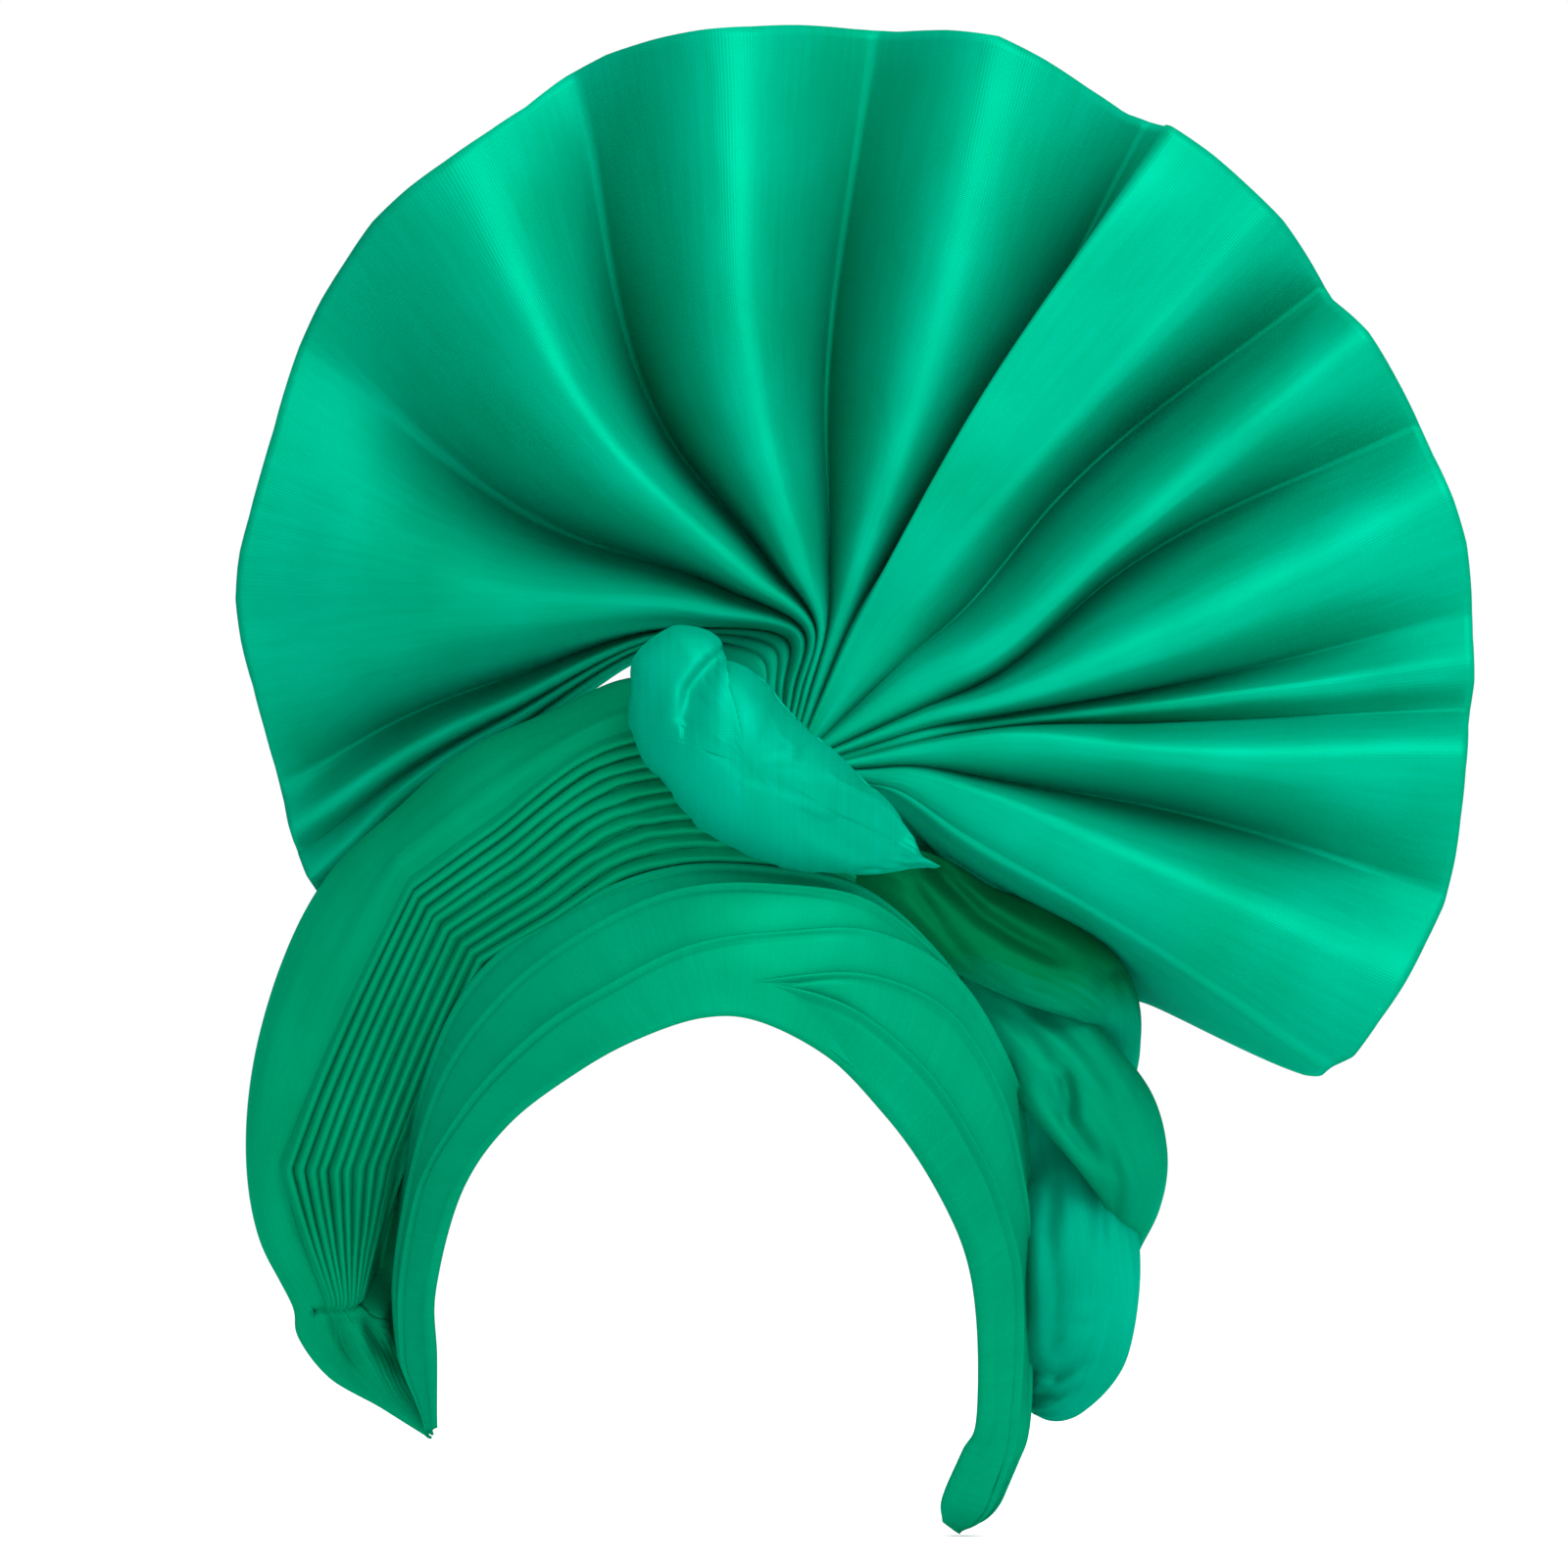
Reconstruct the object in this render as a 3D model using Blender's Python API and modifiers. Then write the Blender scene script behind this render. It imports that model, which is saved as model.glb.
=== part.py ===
"""A ready-tied turban headband of stiff shiny cloth, in metres, +Z up, worn facing -Y.

The origin is the middle of the wearer's head at the height of the hairline.
Brow folds frame the face from ear to ear. A pleated wrap crosses the left side of the
head, passes behind a stuffed knot and goes on as a two-strand roll down the right side.
A large pleated fan opens from behind the knot.
"""

import math

import bmesh
import bpy
import numpy as np

MM = 0.001

# Face opening, which the brow folds frame: every place on the band is a share of these three
ARCH_HALF_WIDTH = 80 * MM
ARCH_HEIGHT = 120 * MM
ARCH_DEPTH = 88 * MM

# Cloth, and the clear gap that is left between two pieces that lie on each other
CLOTH = 1.1 * MM
GAP = 0.35 * MM
BROW_BULGE = 2.5 * MM
BROW_STEP = 1.75 * MM

# Pleated wrap
WRAP_PLEATS = 11
WRAP_PLEAT_RISE = 1.7 * MM
WRAP_BULGE = 9.0 * MM
WRAP_DROP = 3.8 * MM

# Fan: reach of its longest fold, half the height of its folds, and the gather at its root
FAN_RADIUS = 204 * MM
FAN_FOLD = 30 * MM
FAN_ROOT_LENGTH = 26 * MM

# Knot
KNOT_LENGTH = 102 * MM
KNOT_CREASE = 6.0 * MM

# Two-strand roll: half the width of one strand where it is fullest
ROLL_RADIUS = 19.5 * MM

FAN_COLOUR = (0.0, 0.42, 0.22)
BROW_COLOUR = (0.0, 0.38, 0.19)
WRAP_COLOUR = (0.0, 0.33, 0.15)
KNOT_COLOUR = (0.0, 0.46, 0.29)
ROLL_COLOUR = (0.0, 0.40, 0.24)
CLOTH_ROUGHNESS = 0.38

# Brow, from the left tip over the forehead to the right tip. The inner edge frames the
# face and the outer edge lies further back. Shares of the arch's half width, height, depth.
BROW_STATIONS = (
    # inner x, inner z, inner y, outer x, outer z, outer y
    (-0.99, -0.99, 0.20, -1.04, -1.01, 0.28),
    (-1.00, -0.83, 0.10, -1.11, -0.81, 0.43),
    (-0.99, -0.67, -0.02, -1.14, -0.63, 0.40),
    (-0.89, -0.43, -0.28, -1.09, -0.38, 0.17),
    (-0.71, -0.26, -0.62, -1.01, -0.14, -0.16),
    (-0.45, -0.13, -0.86, -0.82, 0.10, -0.45),
    (-0.23, -0.05, -0.96, -0.48, 0.27, -0.68),
    (0.00, 0.00, -1.00, -0.11, 0.36, -0.81),
    (0.20, -0.01, -0.98, 0.25, 0.36, -0.83),
    (0.45, -0.10, -0.86, 0.57, 0.31, -0.76),
    (0.66, -0.24, -0.66, 0.86, 0.14, -0.58),
    (0.82, -0.39, -0.42, 1.05, -0.07, -0.36),
    (0.95, -0.57, -0.16, 1.12, -0.27, -0.06),
    (1.00, -0.75, 0.02, 1.12, -0.61, 0.30),
    (1.00, -0.99, 0.14, 1.12, -0.94, 0.46),
    (0.95, -1.07, 0.20, 1.10, -1.06, 0.46),
    (0.88, -1.18, 0.28, 1.04, -1.19, 0.46),
    (0.89, -1.24, 0.36, 0.95, -1.23, 0.42),
)

# Where each fold of the brow ends, as shares of the way from the inner edge to the outer
# one, at every brow station that the fold crosses. The first column is its first station.
BROW_FOLDS = {
    "brow_fold_left_upper": (0, (0.70, 0.66, 0.62, 0.66, 0.72, 0.72, 0.76, 0.82, 0.87, 0.93, 0.97)),
    "brow_fold_left_lower": (
        0,
        (0.35, 0.33, 0.30, 0.35, 0.32, 0.33, 0.34, 0.42, 0.54, 0.75, 0.93, 0.97, 0.97, 0.97, 0.97, 0.97),
    ),
    "brow_fold_right_upper": (7, (0.10, 0.24, 0.49, 0.70, 0.72, 0.62, 0.66, 0.66, 0.70, 0.75)),
    "brow_fold_right_lower": (8, (0.10, 0.27, 0.30, 0.30, 0.27, 0.28, 0.24, 0.30, 0.40)),
}

# Pleated wrap, from behind the knot down to the gather below the left ear, then its tail.
# Its inner edge follows the brow: a brow station, a share of the way across the brow (over
# 1 is past its edge) and how far behind the brow's cloth it lies, as a share of the drop.
# The silhouette is its furthest line and the lip turns back from there.
WRAP_STATIONS = (
    # brow station, across, drop, silhouette x, z, y, lip x, z, y, top pleat, pleat height
    (8.95, 0.95, 1.0, 0.48, 0.52, -0.65, 0.00, -0.03, 0.06, 0.78, 0.2),
    (8.30, 0.95, 1.0, 0.24, 0.67, -0.665, 0.00, -0.03, 0.07, 0.78, 0.4),
    (7.60, 0.95, 1.0, -0.05, 0.77, -0.64, 0.00, -0.03, 0.08, 0.78, 0.6),
    (6.90, 0.95, 1.0, -0.29, 0.77, -0.60, 0.00, -0.03, 0.08, 0.78, 0.9),
    (6.30, 0.95, 1.0, -0.54, 0.70, -0.52, 0.00, -0.03, 0.08, 0.76, 1.0),
    (5.70, 0.96, 1.0, -0.86, 0.60, -0.41, 0.01, -0.03, 0.08, 0.72, 1.0),
    (5.15, 0.98, 1.0, -1.11, 0.46, -0.28, 0.02, -0.03, 0.08, 0.67, 1.0),
    (4.60, 1.02, 0.8, -1.34, 0.31, -0.13, 0.03, -0.03, 0.10, 0.67, 1.0),
    (4.10, 1.06, 0.6, -1.50, 0.12, 0.00, 0.06, -0.04, 0.20, 0.70, 1.0),
    (3.60, 1.09, 0.4, -1.61, -0.12, 0.11, 0.14, -0.03, 0.36, 0.76, 1.0),
    (3.15, 1.10, 0.2, -1.64, -0.35, 0.18, 0.20, 0.00, 0.42, 0.80, 0.8),
    (2.55, 1.12, 0.2, -1.59, -0.55, 0.24, 0.16, 0.00, 0.34, 0.84, 0.6),
    (2.05, 1.20, 0.2, -1.45, -0.71, 0.26, 0.02, 0.00, 0.08, 0.88, 0.3),
    (1.65, 1.26, 0.2, -1.43, -0.79, 0.32, 0.01, 0.00, 0.03, 0.90, 0.4),
    (1.20, 1.30, 0.2, -1.34, -0.88, 0.40, 0.01, 0.00, 0.03, 0.90, 0.4),
    (0.60, 1.30, 0.2, -1.19, -0.95, 0.46, 0.01, 0.00, 0.03, 0.90, 0.2),
    (0.15, 1.30, 0.2, -1.05, -1.02, 0.44, 0.00, 0.00, 0.01, 0.90, 0.0),
)

# Fan folds in order from the left border, over the top, to the right border. Directions
# in degrees above +X, seen from the front, at four distances from the root. The reach is
# a share of the fan radius, the recess a share of the arch depth behind the root, and the
# folds are shares of the fold height: negative comes forward and positive goes back.
FAN_FOLDS = (
    # crest deg, bend deg, middle deg, rim deg, rim reach, rim recess, middle fold, rim fold
    (150.0, 162.0, 187.0, 201.0, 0.755, 0.91, 0.40, 0.13),
    (139.0, 157.5, 184.5, 199.5, 0.762, 0.91, 0.23, 0.00),
    (134.0, 155.0, 182.5, 198.0, 0.766, 0.91, 0.43, 0.10),
    (129.0, 152.5, 180.5, 196.0, 0.770, 0.91, 0.20, -0.07),
    (124.0, 150.0, 178.5, 193.5, 0.774, 0.91, 0.43, 0.07),
    (119.0, 147.5, 176.0, 191.0, 0.779, 0.89, 0.07, -0.13),
    (114.0, 145.0, 171.5, 186.0, 0.786, 0.86, 0.67, 0.13),
    (108.0, 139.0, 160.0, 170.5, 0.838, 0.72, -0.47, -0.40),
    (103.0, 126.0, 143.5, 143.0, 0.936, 0.66, 0.83, 0.27),
    (99.0, 119.0, 129.0, 127.0, 0.965, 0.52, -0.50, -0.47),
    (96.0, 108.5, 118.5, 111.0, 0.997, 0.45, 0.93, 0.47),
    (93.5, 101.0, 104.0, 99.0, 0.998, 0.39, -0.57, -0.47),
    (90.0, 89.0, 90.0, 86.0, 0.990, 0.35, 1.00, 0.43),
    (85.0, 79.0, 75.5, 76.0, 1.000, 0.32, -0.47, -0.40),
    (78.0, 70.0, 63.0, 62.0, 0.966, 0.32, 1.00, 0.33),
    (73.0, 68.5, 65.0, 59.5, 0.976, 0.32, -0.60, -0.53),
    (62.0, 58.0, 53.0, 50.0, 0.962, 0.32, -0.47, -0.40),
    (40.0, 40.0, 44.5, 41.5, 0.930, 0.30, 0.87, 0.30),
    (24.0, 24.0, 32.0, 36.0, 0.943, 0.30, -0.40, -0.43),
    (10.0, 16.0, 27.5, 27.0, 0.940, 0.30, 0.67, 0.10),
    (4.0, 8.0, 13.5, 20.0, 0.938, 0.30, -0.33, -0.43),
    (-2.0, 3.5, 6.5, 10.0, 0.924, 0.30, 0.47, 0.03),
    (-6.0, 0.5, 3.5, 5.0, 0.917, 0.30, 0.13, -0.13),
    (-10.0, -1.0, 0.5, 1.5, 0.908, 0.30, 0.33, 0.00),
    (-15.0, -5.0, -5.0, -3.5, 0.903, 0.30, -0.40, -0.43),
    (-25.0, -18.0, -14.0, -15.0, 0.910, 0.30, 0.60, 0.10),
    (-32.0, -25.5, -25.5, -25.5, 0.891, 0.34, -0.30, -0.40),
    (-42.0, -38.0, -34.0, -33.5, 0.880, 0.36, -0.10, -0.13),
    (-47.0, -43.0, -37.0, -36.0, 0.840, 0.40, 0.45, 0.20),
    (-52.0, -49.0, -43.0, -41.0, 0.600, 0.95, 0.60, 0.30),
    (-56.0, -53.0, -47.0, -46.6, 0.629, 0.97, 0.50, 0.30),
)
# Distance of the crest, bend and middle columns from the root, as shares of the radius,
# and how much of the middle fold has opened there
FAN_DISTANCES = (0.133, 0.238, 0.462)
FAN_OPENING = (0.16, 0.52, 1.0)
FAN_CENTRE = (0.44, 0.70, -0.84)
FAN_ROOT_SHIFT = (-0.036, -0.034)
FAN_ROOT_TILT = -45.0
FAN_ROOT_FOLD = 0.02

# Knot sections along its length, from the rolled end to the pointed one: place, the two
# edges across it and the bulge to the front, all as shares of its length
KNOT_SECTIONS = (
    # along, upper edge, lower edge, bulge
    (-0.05, 0.07, 0.11, 0.05),
    (0.00, -0.02, 0.20, 0.19),
    (0.08, -0.03, 0.27, 0.26),
    (0.17, -0.04, 0.32, 0.30),
    (0.35, -0.06, 0.36, 0.34),
    (0.58, -0.06, 0.32, 0.31),
    (0.75, -0.05, 0.22, 0.23),
    (0.88, -0.03, 0.12, 0.14),
    (1.00, -0.01, 0.02, 0.04),
)
KNOT_START = (-0.11, 0.91)
KNOT_SLANT = -41.0
KNOT_BACK_SHARE = 0.06
KNOT_SEAT = 1.2 * MM
KNOT_CREASE_PLACE = 0.17
KNOT_CREASE_END = 0.16
KNOT_CREASE_WIDTH = 0.045

# Middle lines of the two strands of the roll, which cross each other, from behind the
# knot to the gather on the right tip: places as shares of the arch, then half the width
# across the strand and half its depth as shares of the roll radius
ROLL_STRANDS = {
    "roll_strand_outer": (
        # x, z, y, half width, half depth
        (0.58, 0.37, -0.64, 0.50, 0.35),
        (0.72, 0.32, -0.60, 0.60, 0.42),
        (0.93, 0.23, -0.53, 0.62, 0.44),
        (1.14, 0.15, -0.44, 0.60, 0.44),
        (1.34, 0.07, -0.29, 0.50, 0.38),
        (1.49, -0.02, -0.05, 0.38, 0.38),
        (1.52, -0.14, 0.16, 0.46, 0.38),
        (1.42, -0.26, 0.30, 0.52, 0.36),
        (1.31, -0.37, 0.26, 0.50, 0.42),
        (1.28, -0.47, 0.13, 0.44, 0.50),
        (1.34, -0.58, 0.05, 0.64, 0.44),
        (1.39, -0.72, 0.12, 0.78, 0.46),
        (1.34, -0.86, 0.22, 0.70, 0.44),
        (1.22, -0.96, 0.32, 0.40, 0.30),
    ),
    "roll_strand_inner": (
        # x, z, y, half width, half depth
        (1.02, 0.07, -0.16, 0.35, 0.30),
        (1.15, -0.04, -0.16, 0.46, 0.40),
        (1.30, -0.18, -0.18, 0.68, 0.42),
        (1.42, -0.31, -0.13, 0.76, 0.42),
        (1.52, -0.42, 0.02, 0.50, 0.42),
        (1.56, -0.50, 0.23, 0.40, 0.42),
        (1.46, -0.60, 0.40, 0.46, 0.36),
        (1.40, -0.72, 0.50, 0.46, 0.34),
        (1.32, -0.84, 0.54, 0.42, 0.32),
        (1.22, -0.93, 0.58, 0.28, 0.25),
    ),
}


def clear_scene():
    for item in list(bpy.data.objects):
        bpy.data.objects.remove(item)


def collection_named(name):
    made = bpy.data.collections.new(name)
    bpy.context.scene.collection.children.link(made)
    return made


def cloth_material(name, colour):
    made = bpy.data.materials.new(name)
    made.use_nodes = True
    shader = made.node_tree.nodes["Principled BSDF"]
    shader.inputs["Base Color"].default_value = (*colour, 1.0)
    shader.inputs["Roughness"].default_value = CLOTH_ROUGHNESS
    shader.inputs["Metallic"].default_value = 0.0
    return made


def spline(values, at, places=None):
    """A smooth curve through the rows of values, read at each number of at.

    Rows stand at 0, 1, 2 ... unless places says where. A row may hold a list of points,
    one for each number of at, and then each number reads its own curve.
    """
    values = np.asarray(values, float)
    at = np.atleast_1d(np.asarray(at, float))
    places = np.arange(len(values), dtype=float) if places is None else np.asarray(places, float)
    slopes = np.gradient(values, places, axis=0)
    at = np.clip(at, places[0], places[-1])
    left = np.clip(np.searchsorted(places, at, side="right") - 1, 0, len(places) - 2)
    span = places[left + 1] - places[left]
    part = (at - places[left]) / span
    own_curves = values.ndim == 3
    column = np.arange(len(at)) if own_curves else slice(None)

    def row(source, index):
        return source[index, column] if own_curves else source[index]

    weights = (
        2 * part**3 - 3 * part**2 + 1,
        (part**3 - 2 * part**2 + part) * span,
        -2 * part**3 + 3 * part**2,
        (part**3 - part**2) * span,
    )
    rows = (row(values, left), row(slopes, left), row(values, left + 1), row(slopes, left + 1))
    extra = (1,) * (rows[0].ndim - 1)
    return sum(weight.reshape(-1, *extra) * found for weight, found in zip(weights, rows))


def arch_point(shares):
    """Shares of the arch's half width, height and depth, in the order x, z, y, as a point."""
    shares = np.asarray(shares, float)
    return np.stack(
        (
            shares[..., 0] * ARCH_HALF_WIDTH,
            shares[..., 2] * ARCH_DEPTH,
            shares[..., 1] * ARCH_HEIGHT,
        ),
        axis=-1,
    )


def unit(vectors):
    return vectors / np.maximum(np.linalg.norm(vectors, axis=-1, keepdims=True), 1e-9)


def brow_point(station, across, layer=0.0):
    """A point of the brow: across is 0 at the face and 1 at the outer edge.

    Layer 0 is the base, and each further layer lies one cloth and one gap outside it.
    """
    stations = np.asarray(BROW_STATIONS)
    inner = arch_point(spline(stations[:, :3], station))
    outer = arch_point(spline(stations[:, 3:], station))
    step = 0.01
    ahead = arch_point(spline(stations[:, :3] + stations[:, 3:], np.asarray(station) + step))
    behind = arch_point(spline(stations[:, :3] + stations[:, 3:], np.asarray(station) - step))
    outward = unit(np.cross(ahead - behind, outer - inner))
    across = np.asarray(across, float).reshape(-1, 1)
    crown = BROW_BULGE * 4 * across * (1 - across)
    return inner + (outer - inner) * across - outward * (-crown - layer * BROW_STEP)


def grid_object(name, columns, rows, shape):
    """A grid primitive with each vertex moved to shape(u, v), u and v from 0 to 1."""
    bpy.ops.mesh.primitive_grid_add(x_subdivisions=columns, y_subdivisions=rows, size=1.0)
    made = bpy.context.object
    made.name = made.data.name = name
    flat = np.array([vertex.co for vertex in made.data.vertices])
    moved = shape(flat[:, 0] + 0.5, flat[:, 1] + 0.5)
    made.data.vertices.foreach_set("co", np.asarray(moved, np.float32).ravel())
    made.data.update()
    return made


def cloth_sheet(name, columns, rows, shape, material, home, thickness=CLOTH):
    """An open cloth surface given its thickness."""
    made = grid_object(name, columns, rows, shape)
    wall = made.modifiers.new("cloth", "SOLIDIFY")
    wall.thickness = thickness
    wall.offset = 0.0
    finish(made, material, home)
    return made


def stuffed_piece(name, around, along, shape, material, home):
    """A sphere primitive whose rings are moved to the sections of a stuffed piece."""
    bpy.ops.mesh.primitive_uv_sphere_add(segments=around, ring_count=along, radius=1.0)
    made = bpy.context.object
    made.name = made.data.name = name
    ball = np.array([vertex.co for vertex in made.data.vertices])
    place = np.arccos(np.clip(ball[:, 2], -1, 1)) / math.pi
    turn = np.arctan2(ball[:, 1], ball[:, 0])
    made.data.vertices.foreach_set("co", np.asarray(shape(turn, place), np.float32).ravel())
    edit = bmesh.new()
    edit.from_mesh(made.data)
    bmesh.ops.recalc_face_normals(edit, faces=edit.faces)
    edit.to_mesh(made.data)
    edit.free()
    finish(made, material, home)
    return made


def finish(made, material, home):
    made.data.materials.append(material)
    made.data.shade_smooth()
    for collection in list(made.users_collection):
        collection.objects.unlink(made)
    home.objects.link(made)


def brow_base(material, home):
    """The full width of the brow, from tip to tip."""
    last = len(BROW_STATIONS) - 1

    def shape(u, v):
        return brow_point(u * last, v)

    return cloth_sheet("brow_base", 2 * last, 4, shape, material, home)


def brow_fold(name, layer, material, home):
    """One overlapping fold of the brow, from near the face to its own edge."""
    first, edges = BROW_FOLDS[name]
    last = len(edges) - 1
    low = 0.03

    def shape(u, v):
        edge = spline(edges, u * last)
        across = low + (edge - low) * v
        return brow_point(first + u * last, across, layer)

    return cloth_sheet(name, 2 * last, 3, shape, material, home)


def wrap_stations():
    """Inner edge, silhouette and lip of the wrap at each of its stations, as points."""
    rows = np.asarray(WRAP_STATIONS)
    inner = [brow_point([row[0]], [row[1]], -row[2] * WRAP_DROP / BROW_STEP)[0] for row in rows]
    return np.array(inner), arch_point(rows[:, 3:6]), arch_point(rows[:, 3:6] + rows[:, 6:9])


def pleat_rise(phase):
    """Height of a knife pleat across one pitch: a quick rise and a slow fall."""
    return np.interp(phase % 1.0, (0.0, 0.34, 0.67, 1.0), (-0.5, 0.5, 0.2, -0.5))


def pleated_wrap(material, home):
    """Sections across the wrap run from the tucked edge over the pleats to the lip."""
    inner, silhouette, lip = wrap_stations()
    last = len(WRAP_STATIONS) - 1
    tops = [row[9] for row in WRAP_STATIONS]
    heights = [row[10] for row in WRAP_STATIONS]
    pleat_columns = 3 * WRAP_PLEATS
    border_columns = 3
    lip_columns = 3
    columns = pleat_columns + border_columns + lip_columns

    def shape(u, v):
        station = v * last
        column = np.rint(u * columns)
        top = spline(tops, station)
        pleated = column <= pleat_columns
        phase = column / 3.0
        across = np.where(
            pleated,
            top * column / pleat_columns,
            np.where(
                column <= pleat_columns + border_columns,
                top + (1 - top) * (column - pleat_columns) / border_columns,
                1 + (column - pleat_columns - border_columns) / lip_columns,
            ),
        )
        near, far, end = spline(inner, station), spline(silhouette, station), spline(lip, station)
        ahead = spline(inner + silhouette, station + 0.05) - spline(inner + silhouette, station - 0.05)
        outward = unit(np.cross(far - near, ahead))
        across = across[:, None]
        middle = (near + far) / 2 + outward * WRAP_BULGE
        shoulder = near + (far - near) * 0.8 + outward * WRAP_BULGE * 0.75
        section = np.stack((near, middle, shoulder, far, end))
        body = spline(section, across[:, 0], (0.0, 0.5, 0.8, 1.0, 2.0))
        rise = np.where(pleated, pleat_rise(phase), -0.5 * (across[:, 0] < 1.0))
        height = spline(heights, station) * WRAP_PLEAT_RISE
        return body + outward * (rise * height)[:, None]

    return cloth_sheet("pleated_wrap", columns, 22, shape, material, home)


def fan(material, home):
    """Every fold runs from the gather behind the knot, over a crest, out to the rim."""
    table = np.asarray(FAN_FOLDS)
    last = len(table) - 1
    centre = arch_point(FAN_CENTRE)
    root_x, root_z = np.multiply(FAN_ROOT_SHIFT, FAN_RADIUS)
    root = centre + np.array((root_x, 0.0, root_z))
    root_tilt = math.radians(FAN_ROOT_TILT)

    def shape(u, v):
        row = spline(table, u * last)
        reach, recess, middle_fold, rim_fold = (row[:, k] for k in (4, 5, 6, 7))
        along = (u - 0.5) * FAN_ROOT_LENGTH
        folds = np.cos(math.pi * u * last) * FAN_ROOT_FOLD * FAN_FOLD
        stations = [
            root
            + np.stack((along * math.cos(root_tilt), folds, along * math.sin(root_tilt)), axis=1)
        ]
        rim_depth = recess * ARCH_DEPTH
        for k, (distance, opening) in enumerate(zip(FAN_DISTANCES, FAN_OPENING)):
            angle = np.radians(row[:, k])
            radius = distance * FAN_RADIUS * np.ones_like(angle)
            share = distance / np.maximum(reach, 0.05)
            depth = rim_depth * share + opening * middle_fold * FAN_FOLD
            stations.append(centre + np.stack((radius * np.cos(angle), depth, radius * np.sin(angle)), axis=1))
        angle = np.radians(row[:, 3])
        radius = reach * FAN_RADIUS
        depth = rim_depth + rim_fold * FAN_FOLD
        stations.append(centre + np.stack((radius * np.cos(angle), depth, radius * np.sin(angle)), axis=1))
        return spline(np.stack(stations), v, (0.0, *FAN_DISTANCES, 1.0))

    return cloth_sheet("fan", 3 * last, 11, shape, material, home)


def knot(material, home):
    """A stuffed teardrop with a flat back, and a crease that parts its rolled end."""
    table = np.asarray(KNOT_SECTIONS)
    last = len(table) - 1
    slant = math.radians(KNOT_SLANT)
    along_axis = np.array((math.cos(slant), 0.0, math.sin(slant)))
    across_axis = np.array((math.sin(slant), 0.0, -math.cos(slant)))
    start = arch_point((KNOT_START[0], KNOT_START[1], 0.0))
    seat = KNOT_SEAT + arch_point(FAN_CENTRE)[1] - FAN_ROOT_FOLD * FAN_FOLD - CLOTH / 2 - GAP
    back = KNOT_BACK_SHARE * KNOT_LENGTH

    def shape(turn, place):
        row = spline(table, place * last) * KNOT_LENGTH
        along, upper, lower, bulge = (row[:, k] for k in range(4))
        closing = np.sqrt(np.clip(1 - (2 * place - 1) ** 8, 0, 1))
        half = (lower - upper) / 2 * closing
        across = (upper + lower) / 2 + half * np.cos(turn)
        front = np.sin(turn) > 0
        swell = np.abs(np.sin(turn)) ** 0.85
        depth = np.where(front, bulge, back * np.minimum(1, bulge / back)) * swell * closing
        from_crease = (along / KNOT_LENGTH - KNOT_CREASE_PLACE) / KNOT_CREASE_WIDTH
        on_crease = np.clip((KNOT_CREASE_END - across / KNOT_LENGTH) / 0.06, 0, 1)
        dent = KNOT_CREASE * np.exp(-(from_crease**2)) * on_crease * swell * front
        y = seat - back - np.where(front, depth - dent, -depth)
        flat = start + along[:, None] * along_axis + across[:, None] * across_axis
        return np.column_stack((flat[:, 0], y, flat[:, 2]))

    return stuffed_piece("knot", 22, 14, shape, material, home)


def roll_strand(name, material, home):
    """One stuffed strand of the roll: oval sections along its own middle line."""
    table = np.asarray(ROLL_STRANDS[name])
    middle = arch_point(table[:, :3])
    halves = table[:, 3:] * ROLL_RADIUS
    last = len(middle) - 1

    def shape(turn, place):
        at = place * last
        centre = spline(middle, at)
        heading = unit(spline(middle, at + 0.05) - spline(middle, at - 0.05))
        toward_front = np.array((0.0, -1.0, 0.0))
        beside = unit(np.cross(heading, toward_front))
        front = np.cross(beside, heading)
        closing = np.sqrt(np.clip(1 - (2 * place - 1) ** 10, 0, 1))[:, None]
        half = spline(halves, at) * closing
        return (
            centre
            + beside * (half[:, :1] * np.cos(turn)[:, None])
            + front * (half[:, 1:] * np.sin(turn)[:, None])
        )

    return stuffed_piece(name, 12, 26, shape, material, home)


def build():
    clear_scene()
    home = collection_named("turban_headband")
    fan_cloth = cloth_material("fan_cloth", FAN_COLOUR)
    brow_cloth = cloth_material("brow_cloth", BROW_COLOUR)
    wrap_cloth = cloth_material("wrap_cloth", WRAP_COLOUR)
    knot_cloth = cloth_material("knot_cloth", KNOT_COLOUR)
    roll_cloth = cloth_material("roll_cloth", ROLL_COLOUR)
    brow_base(brow_cloth, home)
    for layer, name in enumerate(BROW_FOLDS, start=1):
        brow_fold(name, layer, brow_cloth, home)
    pleated_wrap(wrap_cloth, home)
    fan(fan_cloth, home)
    knot(knot_cloth, home)
    for name in ROLL_STRANDS:
        roll_strand(name, roll_cloth, home)


build()
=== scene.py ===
import math

import bmesh
import bpy
import numpy as np
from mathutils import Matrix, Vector


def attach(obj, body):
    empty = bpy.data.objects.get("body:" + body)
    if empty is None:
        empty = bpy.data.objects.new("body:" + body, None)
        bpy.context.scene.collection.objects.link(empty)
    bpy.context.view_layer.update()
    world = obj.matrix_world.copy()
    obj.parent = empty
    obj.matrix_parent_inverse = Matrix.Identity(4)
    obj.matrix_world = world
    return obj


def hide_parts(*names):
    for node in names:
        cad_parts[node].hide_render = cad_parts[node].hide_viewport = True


# Dresses the turban headband: finer cloth in place of each solid, satin, light and camera.
# Lengths are in metres, +Z is up and the front faces -Y.

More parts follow.
